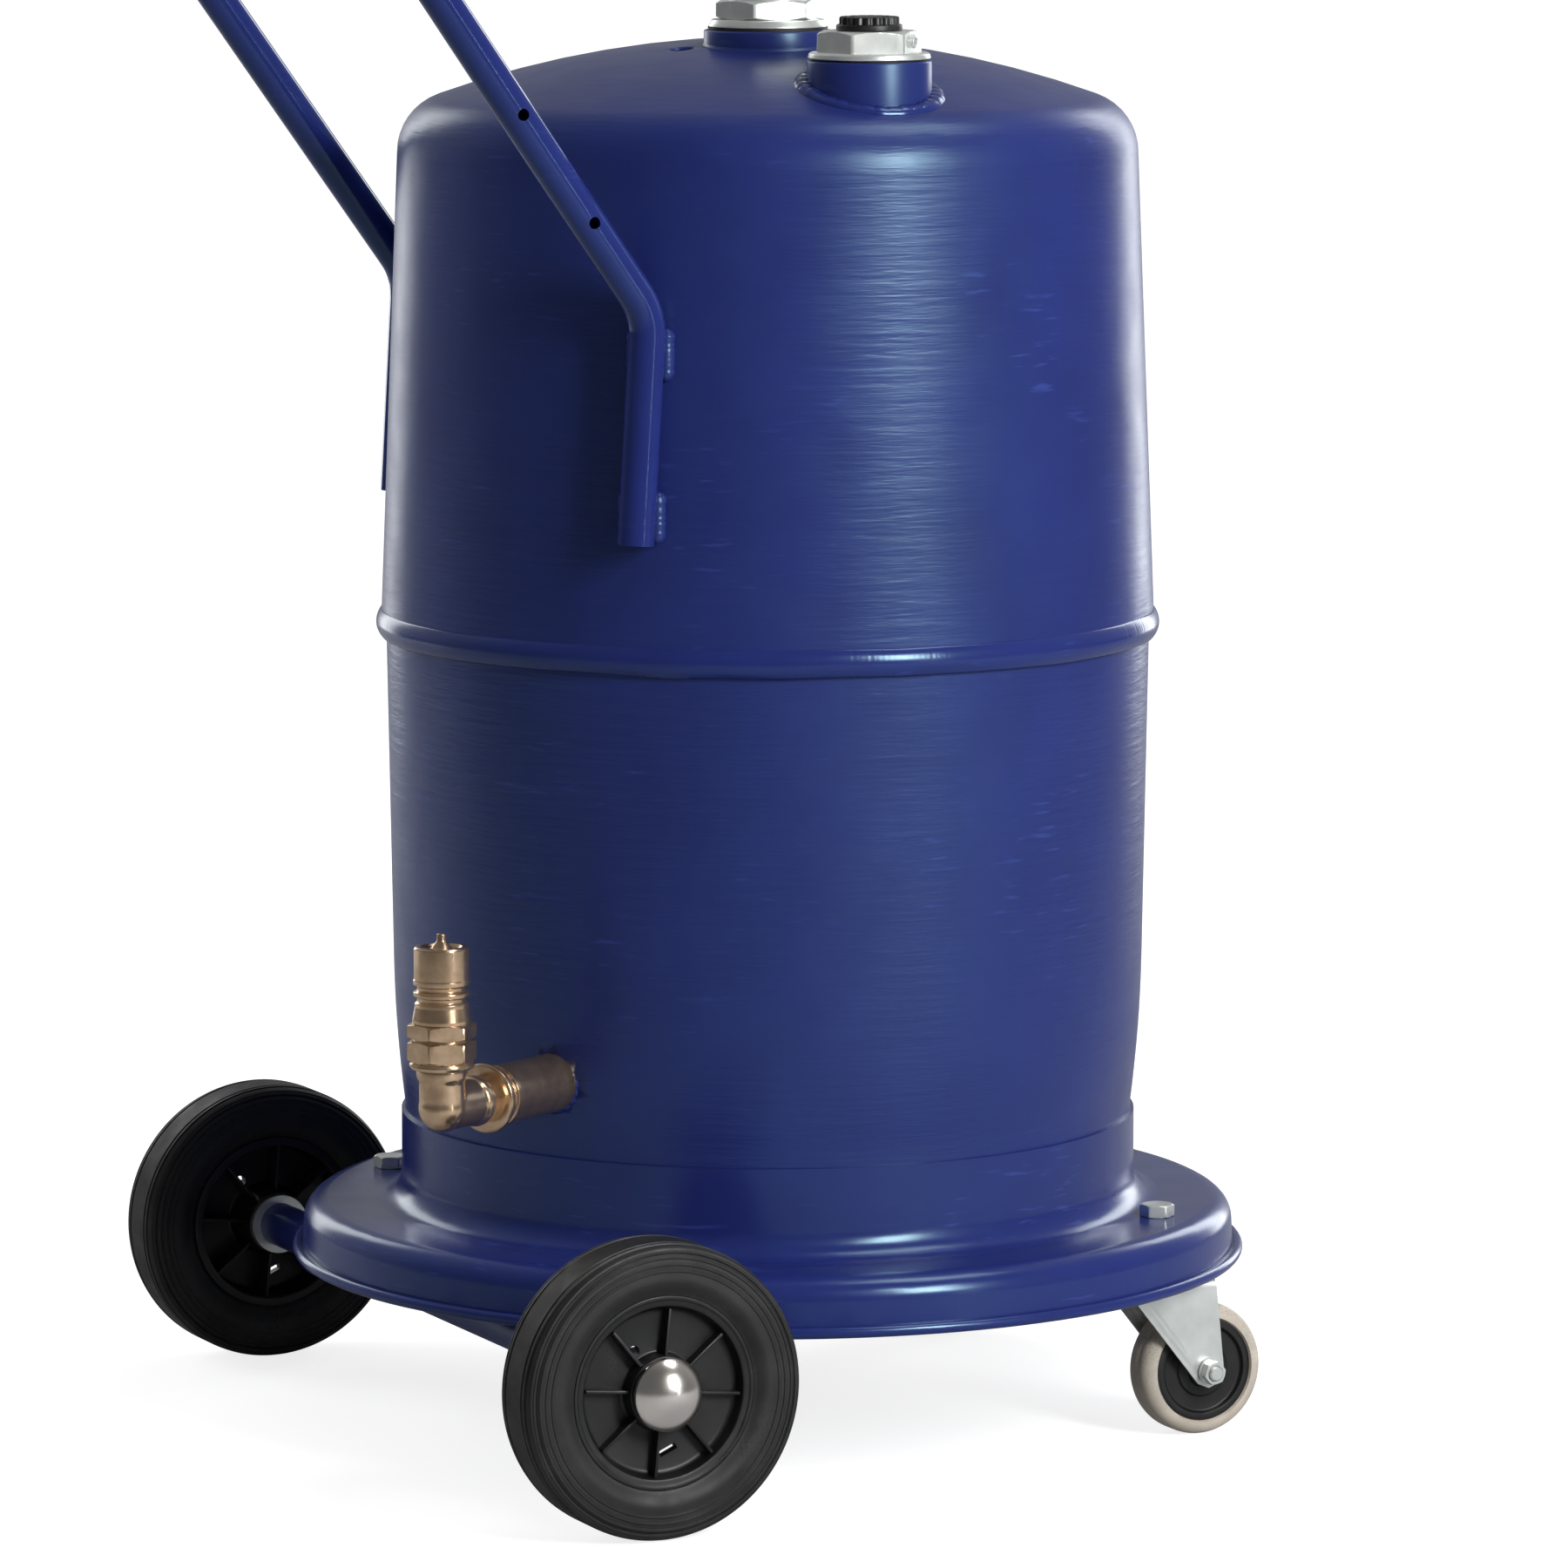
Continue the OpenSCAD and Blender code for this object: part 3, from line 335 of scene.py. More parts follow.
def moulded(name, dark, light, roughness, grain, size=9, depth=0.04, dust=None):
    """Rubber or plastic in two close tones with a moulded grain, and dust in random patches."""
    paint = Shader(name)
    base = paint.mix(paint.range(paint.noise(size, detail=5, rough=0.6), 0.3, 0.7), dark, light)
    if dust:
        film = paint.multiply(paint.range(paint.noise(size * 3, detail=5, shift=9), 0.46, 0.68),
                              paint.range(paint.noise(1.1, detail=2, shift=1), 0.35, 0.7))
        base = paint.mix(film, base, dust)
    paint.link(base, "Base Color")
    dullness = paint.range(paint.noise(size, detail=3, shift=6), 0.3, 0.7,
                           roughness - MOULDED_SPREAD, roughness + MOULDED_SPREAD)
    paint.link(dullness, "Roughness")
    paint.bump(paint.noise(grain, detail=3, rough=0.6), depth, 0.7)
    return paint.material


# Dark and light tone, roughness, its spread, size of the tones' patches, metallic, depth of the scratches
METALS = {
    "zinc_plate": ((0.62, 0.645, 0.62), (0.76, 0.79, 0.76), 0.285, 0.1, 18, 0.7, 0.2),
    "brass": ((0.50, 0.345, 0.215), (0.74, 0.54, 0.36), 0.18, 0.08, 10, 0.93, 0.08),
    "steel": ((0.42, 0.42, 0.43), (0.60, 0.60, 0.61), 0.285, 0.1, 12),
    # The chrome's warm tone is a painted reflection: the metal is tinted warm all over to stand in for a warm
    # floor seen in the caps
    "chrome": ((0.78, 0.74, 0.69), (0.88, 0.84, 0.79), 0.2, 0.05, 20, 1.0, 0.05),
}

# Dark and light tone, roughness, size of the grain, size of the tones' patches, depth of the grain, dust
MOULDINGS = {
    "black_rubber": ((0.006, 0.006, 0.006), (0.016, 0.016, 0.016), 0.6, 0.8),
    "black_plastic": ((0.006, 0.006, 0.007), (0.014, 0.014, 0.015), 0.42, 0.7),
    "black_tyre": ((0.0040, 0.0040, 0.0040), (0.0085, 0.0085, 0.0085), 0.58, 0.9, 12, 0.05,
                   (0.026, 0.025, 0.024)),
    "hub_plastic": ((0.0018, 0.0019, 0.0021), (0.0042, 0.0044, 0.0049), 0.46, 0.8, 10, 0.03,
                    (0.014, 0.014, 0.014)),
    "nylon": ((0.52, 0.51, 0.47), (0.66, 0.65, 0.61), 0.5, 1.2),
    "grey_rubber": ((0.42, 0.37, 0.30), (0.54, 0.48, 0.40), 0.55, 1.0, 14, 0.04, (0.26, 0.24, 0.21)),
}


def make_materials():
    made = {
        "blue_paint": blue_paint("blue_paint"),
        "blue_shell": blue_paint("blue_shell", rippled=True),
        "blue_weld": blue_paint("blue_weld", gloss=0.1, peel=5),
        "blue_tube": blue_paint("blue_tube", gloss=0.2, peel=12),
    }
    for name, look in METALS.items():
        made[name] = metal(name, *look)
    for name, look in MOULDINGS.items():
        made[name] = moulded(name, *look)
    return made


# ---------- shapes ----------

def rounded(corners, steps=4):
    """Outline through (r, z) corners, where a third number turns that corner on a fillet of its radius."""
    made = []
    for i, corner in enumerate(corners):
        here = Vector(corner[:2])
        fillet = corner[2] if len(corner) > 2 else 0
        if not fillet:
            made.append(here)
            continue
        back = Vector(corners[i - 1][:2]) - here
        on = Vector(corners[(i + 1) % len(corners)][:2]) - here
        half = back.angle(on) / 2
        reach = min(fillet / math.tan(half), back.length * 0.49, on.length * 0.49)
        start = here + back.normalized() * reach
        end = here + on.normalized() * reach
        centre = here + (back.normalized() + on.normalized()).normalized() * reach / math.cos(half)
        for k in range(steps + 1):
            spoke = (start - centre).lerp(end - centre, k / steps)
            made.append(centre + spoke.normalized() * (start - centre).length)
    return [(p.x, p.y) for p in made]


def new_piece(name, bm, sharp=38):
    """An object from a bmesh in mm, with its normals outward and its hard edges sharp."""
    bmesh.ops.remove_doubles(bm, verts=bm.verts, dist=0.0005)
    bmesh.ops.recalc_face_normals(bm, faces=bm.faces)
    bmesh.ops.scale(bm, vec=(MM, MM, MM), verts=bm.verts)
    mesh = bpy.data.meshes.new(name)
    bm.to_mesh(mesh)
    bm.free()
    mesh.shade_smooth()
    mesh.set_sharp_from_angle(angle=math.radians(sharp))
    piece = bpy.data.objects.new(name, mesh)
    bpy.context.scene.collection.objects.link(piece)
    return piece


def turn_into(bm, outline, steps=96, shape=None, place=None):
    """Turns a closed (r, z) outline about Z into bm. shape(r, z, degrees) may move each point."""
    rings = []
    for i in range(steps):
        degrees = 360 * i / steps
        spoke = Vector((math.cos(math.radians(degrees)), math.sin(math.radians(degrees)), 0))
        ring = []
        for r, z in outline:
            if shape:
                r, z = shape(r, z, degrees)
            point = spoke * r + UP * z
            ring.append(bm.verts.new(place @ point if place else point))
        rings.append(ring)
    count = len(outline)
    for i in range(steps):
        for k in range(count):
            a, b = rings[i], rings[(i + 1) % steps]
            bm.faces.new((a[k], b[k], b[(k + 1) % count], a[(k + 1) % count]))


def lathe(name, outline, steps=96, shape=None, sharp=38):
    """A piece turned from a closed (r, z) outline."""
    bm = bmesh.new()
    turn_into(bm, outline, steps, shape)
    return new_piece(name, bm, sharp)


def threads(r_crest, r_root, z_from, z_to, pitch=2.3):
    """Outline points of thread-like grooves between two heights."""
    count = max(1, round(abs(z_to - z_from) / pitch))
    step = (z_to - z_from) / count
    return [p for i in range(count) for p in
            ((r_crest, z_from + i * step), (r_crest, z_from + (i + 0.2) * step),
             (r_root, z_from + (i + 0.6) * step))] + [(r_crest, z_to)]


def hexed(spans, turn):
    """A shape that cuts hexagon flats where z lies in a (low, high, across_flats) span."""
    def shape(r, z, degrees):
        for low, high, flats in spans:
            if low - 0.001 <= z <= high + 0.001:
                across = math.radians((degrees - turn) % 60 - 30)
                return min(r, flats / 2 / math.cos(across)), z
        return r, z
    return shape


def hex_band(low, high, flats, chamfer_low=0.0, chamfer_high=0.0, steps=5):
    """Outline of a hexagon's outside, from low to high, with its corners turned off on cones."""
    corner = flats / math.sqrt(3)
    flat = flats / 2
    points = []
    for k in range(steps + 1 if chamfer_low else 1):
        part = k / steps if chamfer_low else 1
        points.append((flat + (corner - flat) * part if chamfer_low else corner, low + chamfer_low * part))
    for k in range(steps + 1 if chamfer_high else 1):
        part = k / steps if chamfer_high else 0
        points.append((corner + (flat - corner) * part, high - chamfer_high * (1 - part)))
    return points


def set_at(piece, origin, z_axis=UP, x_axis=None):
    """Puts a piece's origin at a point in mm, with its local Z, and X if given, along these directions."""
    z_axis = z_axis.normalized()
    if x_axis is None:
        x_axis = X if abs(z_axis.x) < 0.9 else Y
    y_axis = z_axis.cross(x_axis).normalized()
    x_axis = y_axis.cross(z_axis)
    turn = Matrix((x_axis, y_axis, z_axis)).transposed().to_4x4()
    piece.matrix_world = Matrix.Translation(origin * MM) @ turn
    return piece


def finish_piece(piece, body, slot, *nodes, material=None):
    """Gives a piece the material of its slot, or the one given, lets it ride its body and stand for its CAD nodes.
    """
    piece.data.materials.clear()
    piece.data.materials.append(MATERIALS[material or slot])
    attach(piece, body)
    if nodes:
        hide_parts(*nodes)
    return piece


def soften(piece, width, angle=50):
    """Rounds a piece's or a CAD node's edges that are sharper than the angle."""
    bevel = piece.modifiers.new("edges", "BEVEL")
    bevel.width = width * MM
    bevel.segments = 2
    bevel.limit_method = "ANGLE"
    bevel.angle_limit = math.radians(angle)


def baked(piece):
    """Applies a piece's modifiers to its mesh."""
    made = bpy.data.meshes.new_from_object(piece.evaluated_get(bpy.context.evaluated_depsgraph_get()))
    piece.modifiers.clear()
    piece.data = made
    return piece


def wobble(seed):
    """A smooth random function of an angle in degrees that closes on itself, about -1 to 1."""
    rng = random.Random(seed)
    waves = [(k, rng.uniform(0.2, 1) / math.sqrt(k), rng.uniform(0, math.tau)) for k in range(2, 24)]
    total = math.sqrt(sum(size * size for _, size, _ in waves))
    return lambda degrees: sum(size * math.sin(k * math.radians(degrees) + phase)
                               for k, size, phase in waves) / total


def ripple(turns):
    """The overlapping scales of a weld, 0 to 1, with that many of them round a circle."""
    return lambda degrees: 1 - abs(2 * ((degrees / 360 * turns) % 1) - 0.7) ** 1.6 / 1.5


# ---------- tank ----------

def seam_bead():
    """The weld round the tank, a low bead with slow wander and faint scales."""
    bead_r, sunk, inside, steps = 11, 8.2, 3.2, 7
    reach = math.acos((sunk - 0.4) / bead_r)
    angles = [reach * (k / steps - 1) for k in range(2 * steps + 1)]
    arc = [(SEAM_R - sunk + bead_r * math.cos(a), bead_r * math.sin(a)) for a in angles]
    outline = [(SEAM_R - inside, arc[0][1])] + arc + [(SEAM_R - inside, arc[-1][1])]
    scales, wander, swell = ripple(430), wobble(3), wobble(8)

    def shape(r, z, degrees):
        if r > SEAM_R:
            r += 0.09 * scales(degrees) + 0.12 * swell(degrees) - 0.16
        return r, z + 0.25 * wander(degrees)
    piece = lathe("seam_weld_bead", outline, 1290, shape, sharp=60)
    set_at(piece, TANK + UP * SEAM_Z)
    finish_piece(piece, "tank", "blue_paint", "seam_weld", material="blue_weld")


NECK_BORE = 22.4
NECK_SINK = 1.2


def neck(name, node, rim, foot_flare):
    """A welded neck with a rounded rim, whose foot follows the dome."""
    bore = NECK_BORE
    low, high = box_mm(node)
    centre = centre_mm(node)
    radius = (high.x - low.x) / 2
    height = high.z - low.z
    foot_ring = [(radius + foot_flare, 0), (radius + foot_flare * 0.35, 1.6), (radius, 1.6 + foot_flare, 2)]
    outline = rounded([(bore, 0)] + (foot_ring if foot_flare else [(radius, 0)])
                      + [(radius, height, rim), (bore + 1.2, height, 0.6), (bore, height - 1.2)])
    foot = dome_height(centre.x, centre.y) - NECK_SINK
    below_dome = 1 if foot_flare else 6

    def shape(r, z, degrees):
        x = centre.x + r * math.cos(math.radians(degrees))
        y = centre.y + r * math.sin(math.radians(degrees))
        start = low.z if r < radius - 3 else dome_height(x, y) - below_dome
        return r, start + z * (high.z - start) / height - foot
    piece = lathe(name, outline, 144, shape)
    set_at(piece, Vector((centre.x, centre.y, foot)))
    finish_piece(piece, "tank", "blue_paint", node)


def filler_weld():
    """The low scaly weld ring between the filler neck and the dome."""
    centre = centre_mm("filler_neck")
    ring_r, wide, tall, sunk = 35.2, 6.6, 5.2, 2.2
    scales, wander, swell = ripple(34), wobble(5), wobble(12)
    angles = [math.radians(a) for a in range(-30, 211, 15)]
    outline = [(wide * math.cos(a), tall * math.sin(a)) for a in angles]
    bm = bmesh.new()
    steps = 476
    rings = []
    for i in range(steps):
        degrees = 360 * i / steps
        grow = 0.86 + 0.09 * scales(degrees) + 0.05 * wander(degrees)
        spoke = Vector((math.cos(math.radians(degrees)), math.sin(math.radians(degrees)), 0))
        at = Vector((centre.x, centre.y, 0)) + spoke * ring_r
        foot = dome_height(at.x, at.y) - sunk
        rings.append([bm.verts.new(spoke * (ring_r + a * (0.95 + 0.04 * swell(degrees)))
                                   + UP * (foot + b * grow - DOME_TOP)) for a, b in outline])
    for i in range(steps):
        a, b = rings[i], rings[(i + 1) % steps]
        for k in range(len(outline)):
            n = (k + 1) % len(outline)
            bm.faces.new((a[k], b[k], b[n], a[n]))
    piece = new_piece("filler_neck_weld_ring", bm, sharp=60)
    set_at(piece, Vector((centre.x, centre.y, DOME_TOP)))
    finish_piece(piece, "tank", "blue_paint", "filler_neck_weld", material="blue_weld")


def outlet_adaptor():
    """The zinc hexagon reducer on the outlet neck, with a tapered flange and an internal thread."""
    low, high = box_mm("outlet_adaptor")
    centre = centre_mm("outlet_adaptor")
    seat = box_mm("outlet_gasket")[1].z - low.z
    top = high.z - low.z
    spigot_r, bore_r, flats = 22.4, 15.15, 51.5
    flange_h, hex_h, turn = 4.2, 10.4, 19.2
    hex_low = seat + flange_h
    hex_high = hex_low + hex_h
    outline = (threads(spigot_r, spigot_r - 1.2, 0, seat - 3)
               + [(spigot_r, seat)]
               + rounded([(31.6, seat), (33, seat + 0.1, 0.3), (32.4, seat + 1.4, 0.4),
                          (31, hex_low - 0.2, 0.8), (29.2, hex_low)])[1:]
               + hex_band(hex_low + 0.1, hex_high, flats, 1.5, 1.5)
               + rounded([(25.2, hex_high), (22.2, hex_high, 0.6), (21.5, hex_high + 1.2, 0.4),
                          (21.5, top, 0.8), (bore_r + 1.4, top, 0.4)])[1:]
               + threads(bore_r, bore_r + 0.9, top - 1.4, 0))
    piece = lathe("outlet_adaptor_hex", outline, 192, hexed([(hex_low + 0.05, hex_high, flats)], turn), 30)
    set_at(piece, Vector((centre.x, centre.y, low.z)))
    finish_piece(piece, "tank", "zinc_plate", "outlet_adaptor")


def filler_plug():
    """The zinc filler plug, with a thin flange, a hexagon and a threaded spigot."""
    low, high = box_mm("filler_plug")
    centre = centre_mm("filler_plug")
    seat = box_mm("filler_gasket")[1].z - low.z
    top = high.z - low.z
    spigot_r, bore_r, flats = 22.35, 8, 50
    flange_h, turn = 3.5, 13.8
    hex_low = seat + flange_h
    outline = (threads(spigot_r, spigot_r - 1.2, 0, seat - 3)
               + [(spigot_r, seat)]
               + rounded([(32, seat), (33.5, seat, 0.5), (32.9, seat + 2.6, 0.9), (31.2, hex_low, 0.6),
                          (28.6, hex_low)])[1:]
               + hex_band(hex_low + 0.1, top, flats, 0, 1.7)
               + rounded([(22, top), (bore_r + 2.2, top), (bore_r + 1.8, top - 0.5),
                          (bore_r, top - 0.6, 0.3), (bore_r, 0)])[1:])
    piece = lathe("filler_plug_hex", outline, 192, hexed([(hex_low + 0.05, top, flats)], turn), 30)
    set_at(piece, Vector((centre.x, centre.y, low.z)))
    finish_piece(piece, "filler_plug", "zinc_plate", "filler_plug")
    screw_turn, screw_up = math.radians(turn + 30), 6
    screw = lathe("bleed_screw_head", rounded([
        (0, -5), (2.4, -5), (2.4, 0), (3.6, 0, 0.2), (3.6, 1.6, 0.5), (2.2, 2, 0.3), (2.0, -0.6),
        (0, -0.6)]), 48)
    out = Vector((math.cos(screw_turn), math.sin(screw_turn), 0))
    set_at(screw, Vector((centre.x, centre.y, low.z + hex_low + screw_up)) + out * (flats / 2), out)
    finish_piece(screw, "filler_plug", "zinc_plate", "bleed_screw")


def vent_cap():
    """The black knurled vent cap on its hollow stem."""
    low, high = box_mm("vent_cap")
    centre = centre_mm("vent_cap")
    top = high.z - low.z
    knob_h, grips, grip_r, grip_depth = 7.4, 18, 16.4, 1.25
    under = top - knob_h
    outline = rounded([
        (3, 0), (7.95, 0, 0.5), (7.95, 7.0), (6.4, 7.0), (6.4, 9.0), (7.95, 9.0), (7.95, under),
        (18, under, 0.5), (18, under + 3, 1.0), (grip_r + 0.2, under + 3.2, 0.3), (grip_r, under + 3.8),
        (grip_r, top - 0.9), (grip_r - 0.3, top - 0.3), (grip_r - 1.1, top), (12.6, top, 0.4),
        (12.1, top - 0.7, 0.3), (9.4, top - 0.7, 0.3), (8.9, top - 0.2, 0.3), (0, top - 0.2),
        (0, 12), (3, 12)])

    def shape(r, z, degrees):
        if z > under + 3.3 and r > grip_r - 1.5:
            r -= grip_depth * (0.5 + 0.5 * math.cos(math.radians(degrees * grips))) ** 1.5
        return r, z
    piece = lathe("vent_cap_knob", outline, 360, shape, 30)
    set_at(piece, Vector((centre.x, centre.y, low.z)))
    finish_piece(piece, "vent_cap", "black_plastic", "vent_cap")


# The handle's leg: height and azimuth of its foot and of its bend, its radius and its gap to the wall
LEG_FOOT = (516.3, 43.95)
LEG_BEND = (640, 42.47)
LEG_R = 10
LEG_GAP = 0.5


def weld_run(bm, centre, along, out, across, half, radius, phase, swell):
    """A short straight bead that swells and narrows, with tapered ends."""
    count, sides = 60, 20
    angles = [math.tau * k / sides for k in range(sides)]
    spokes = [out * math.cos(a) + across * math.sin(a) for a in angles]
    rings = []
    for i in range(count + 1):
        t = i / count * 2 - 1
        end = math.sqrt(max(0.0, 1 - max(0, abs(t) - 0.6) ** 2 / 0.16))
        scale = 0.5 * abs(math.sin(i / count * math.pi * 2.5 + phase)) + 0.5 * swell(i * 3)
        r = radius * max(0.02, end) * (0.93 + 0.06 * scale)
        rings.append([bm.verts.new(centre + along * half * t + spoke * r) for spoke in spokes])
    for a, b in zip(rings, rings[1:]):
        for k in range(sides):
            n = (k + 1) % sides
            bm.faces.new((a[k], b[k], b[n], a[n]))
    bm.faces.new(rings[0])
    bm.faces.new(rings[-1])


def handle_weld_beads():
    """Short fillets between the handle's legs and the wall, two on each side of each leg."""
    heights = (530.5, 618)
    bead_r, half, aside, inward = 5.0, 14.5, 8.6, 8.0
    lean = (SEAM_R - SHOULDER_R) / (KNUCKLE_Z - SEAM_Z)
    swell = wobble(21)
    bm = bmesh.new()
    for side in SIDES.values():
        for height in heights:
            part = (height - LEG_FOOT[0]) / (LEG_BEND[0] - LEG_FOOT[0])
            turn = math.radians(LEG_FOOT[1] + (LEG_BEND[1] - LEG_FOOT[1]) * part)
            out = Vector((side * math.cos(turn), -math.sin(turn), 0))
            up = (UP - out * lean).normalized()
            across = up.cross(out)
            leg = TANK + out * (wall_radius(height) + LEG_GAP + LEG_R - inward) + UP * height
            for sign in (-1, 1):
                weld_run(bm, leg + across * sign * aside, up, out, across, half, bead_r, sign,
                         lambda degrees: swell(height + degrees))
    piece = new_piece("handle_weld_beads", bm, sharp=60)
    finish_piece(piece, "tank", "blue_paint", "handle_welds")


# ---------- bolts and chassis ----------

def hex_head(bm, place, flats, height, turn=0.0, face=0.4):
    """A bolt head from its bearing face up, with a washer face under it."""
    outline = ([(0, 0), (flats / 2 - 0.4, 0), (flats / 2 - 0.4, face)]
               + hex_band(face, height, flats, 0, (flats / math.sqrt(3) - flats / 2) * 0.62)
               + [(flats / 2 - 1.6, height), (flats / 2 - 2.2, height - 0.25), (0, height - 0.25)])
    turn_into(bm, outline, 96, hexed([(face, height, flats)], turn), place)


def shank(bm, place, radius, low, high, thread_to):
    """A bolt's shank from low to high, threaded from its low end up to thread_to."""
    outline = ([(0, low), (radius - 0.8, low)] + threads(radius, radius - 0.7, low + 0.6, thread_to, 1.5)
               + [(radius, high), (0, high)])
    turn_into(bm, outline, 36, None, place)


def hex_nut(bm, place, flats, height, radius, turn=0.0):
    """A nut chamfered on both faces, on a thread of that radius."""
    chamfer = (flats / math.sqrt(3) - flats / 2) * 0.6
    outline = ([(radius, 0), (flats / 2 - 0.3, 0)] + hex_band(0, height, flats, chamfer, chamfer)
               + [(flats / 2 - 0.8, height), (radius + 0.8, height), (radius, height - 0.8)])
    turn_into(bm, outline, 96, hexed([(0, height, flats)], turn), place)


def flange_fasteners():
    """Four M10 bolts through the flange with their nuts below, long at the front and short at the rear."""
    low, high = box_mm("flange_bolts")
    nut_low = box_mm("flange_nuts")[0].z
    head_h, flats, thread_r, nut_h = 6.8, 17, 5, 8
    short, threaded, nut_up = 19, 20, 4.5
    face = high.z - head_h
    bolt_xy = joint_mm("castor_right_swivel").x
    bolts, nuts = bmesh.new(), bmesh.new()
    for x, y in ((1, 1), (-1, 1), (-1, -1), (1, -1)):
        at = TANK + Vector((x * bolt_xy, y * bolt_xy, 0))
        front = y > 0
        turn = math.degrees(math.atan2(y, x))
        hex_head(bolts, Matrix.Translation(at + UP * face), flats, head_h, turn + 20)
        foot = low.z if front else face - short
        shank(bolts, Matrix.Translation(at), thread_r, foot, face + 0.2, foot + threaded)
        nut_at = nut_low if front else foot + nut_up
        hex_nut(nuts, Matrix.Translation(at + UP * nut_at), flats, nut_h, thread_r - 0.3, turn)
    finish_piece(new_piece("flange_bolt_set", bolts, 30), "tank", "zinc_plate", "flange_bolts")
    finish_piece(new_piece("flange_nut_set", nuts, 30), "tank", "zinc_plate", "flange_nuts")


def hub_caps():
    """Domed chrome push-on caps with a rolled edge."""
    low, high = box_mm("hub_caps")
    height, edge, steps = 13, 2, 14
    radius = (high.z - low.z) / 2
    dome = (radius ** 2 + (height - edge) ** 2) / (2 * (height - edge))
    radii = [radius * math.sin(math.pi / 2 * (1 - k / steps)) for k in range(steps + 1)]
    arc = [(r, height - dome + math.sqrt(dome ** 2 - r ** 2)) for r in radii]
    outline = ([(10, 0), (radius - 1, 0), (radius - 0.2, 0.3), (radius, 0.9), (radius - 0.1, 1.5)] + arc[1:]
               + [(0, 5), (10, 5)])
    axle = joint_mm("wheel_right_spin")
    for side, sign in SIDES.items():
        piece = lathe("hub_cap_" + side, outline, 96, sharp=50)
        set_at(piece, Vector((sign * (high.x - height), axle.y, axle.z)), X * sign)
        finish_piece(piece, "tank", "chrome", *(["hub_caps"] if sign > 0 else []))


# ---------- fixed wheels ----------

WHEEL_R = 80
TYRE_HALF = 20.4
RIM_R = 52.5


def tyre_side(sign):
    """Outline of a tyre's side from its tread to its bead, as (r, x) with x growing towards sign."""
    ridges = ((76, 0.55), (73, 0.5), (69.5, 0.5), (66, 0.5))
    points = [(WHEEL_R, 0), (WHEEL_R, 9.2), (WHEEL_R - 1.2, 9.8), (WHEEL_R - 1.2, 10.8), (WHEEL_R, 11.4),
              (WHEEL_R - 0.1, 13.2), (WHEEL_R - 1.4, 13.8), (WHEEL_R - 1.5, 14.8), (WHEEL_R - 0.6, 15.4),
              (WHEEL_R - 1.1, 17.0), (WHEEL_R - 2.0, 18.3)]
    for r, rise in ridges:
        face = TYRE_HALF - max(0, r - 71) ** 2 * 0.05 - 0.55
        points += [(r + 1.0, face), (r + 0.5, face + rise), (r - 0.3, face + rise), (r - 0.8, face)]
    points += [(63.5, TYRE_HALF - 0.5), (61.5, TYRE_HALF - 0.2), (59, TYRE_HALF - 0.5),
               (56.5, TYRE_HALF - 1.6), (54.6, TYRE_HALF - 2.7), (53.6, TYRE_HALF - 3.3),
               (RIM_R + 0.1, TYRE_HALF - 3.6)]
    return [(r, x * sign) for r, x in points]


def wheel_tyre(side):
    """A solid rubber tyre with fine rings round its side."""
    sign = SIDES[side]
    outer = tyre_side(1)
    inner = tyre_side(-1)[:0:-1]
    outline = [(50, -15), (50, 15), (RIM_R, 15.6)] + outer[::-1] + inner[::-1] + [(RIM_R + 0.1, -17.0)]
    tyre = lathe("wheel_tyre_" + side + "_moulded", outline, 180, sharp=28)
    set_at(tyre, joint_mm("wheel_%s_spin" % side), X * sign, Y * sign)
    finish_piece(tyre, "wheel_" + side, "black_tyre", "wheel_tyre_" + side)


RIBS = 8
RIB_FROM = -5.5
RIB_SIZE = (26.6, 1.8)
RIB_R = 31.8
RIB_SPAN = (-14, 15.5)
HUB_FRONT = 17.3
# Angle, radius, (radial, round) size and tilt of the windows through the hub's web, on the right wheel
WINDOWS = ((122, 26, (6.4, 6.4), 0), (-80, 33, (3.4, 10.5), -14))
WINDOW_DEEP = 14
WINDOW_Z = 5.5


def hub_turn(angle, sign):
    """A turn about a wheel's axle, mirrored on the left wheel."""
    return Matrix.Rotation(math.radians(angle if sign > 0 else 180 - angle), 4, "Z")


def hub_windows(name, sign):
    """The cutters for a hub's round hole and its slot."""
    bm = bmesh.new()
    for angle, radius, size, tilt in WINDOWS:
        place = hub_turn(angle, sign) @ Matrix.Translation((radius, 0, WINDOW_Z))
        place = place @ Matrix.Rotation(math.radians(-tilt * sign), 4, "Z")
        place = place @ Matrix.Diagonal((*size, WINDOW_DEEP, 1))
        if tilt:
            bmesh.ops.create_cube(bm, size=1, matrix=place)
        else:
            bmesh.ops.create_cone(bm, cap_ends=True, segments=24, radius1=0.5, radius2=0.5, depth=1,
                                  matrix=place)
    return new_piece(name, bm)


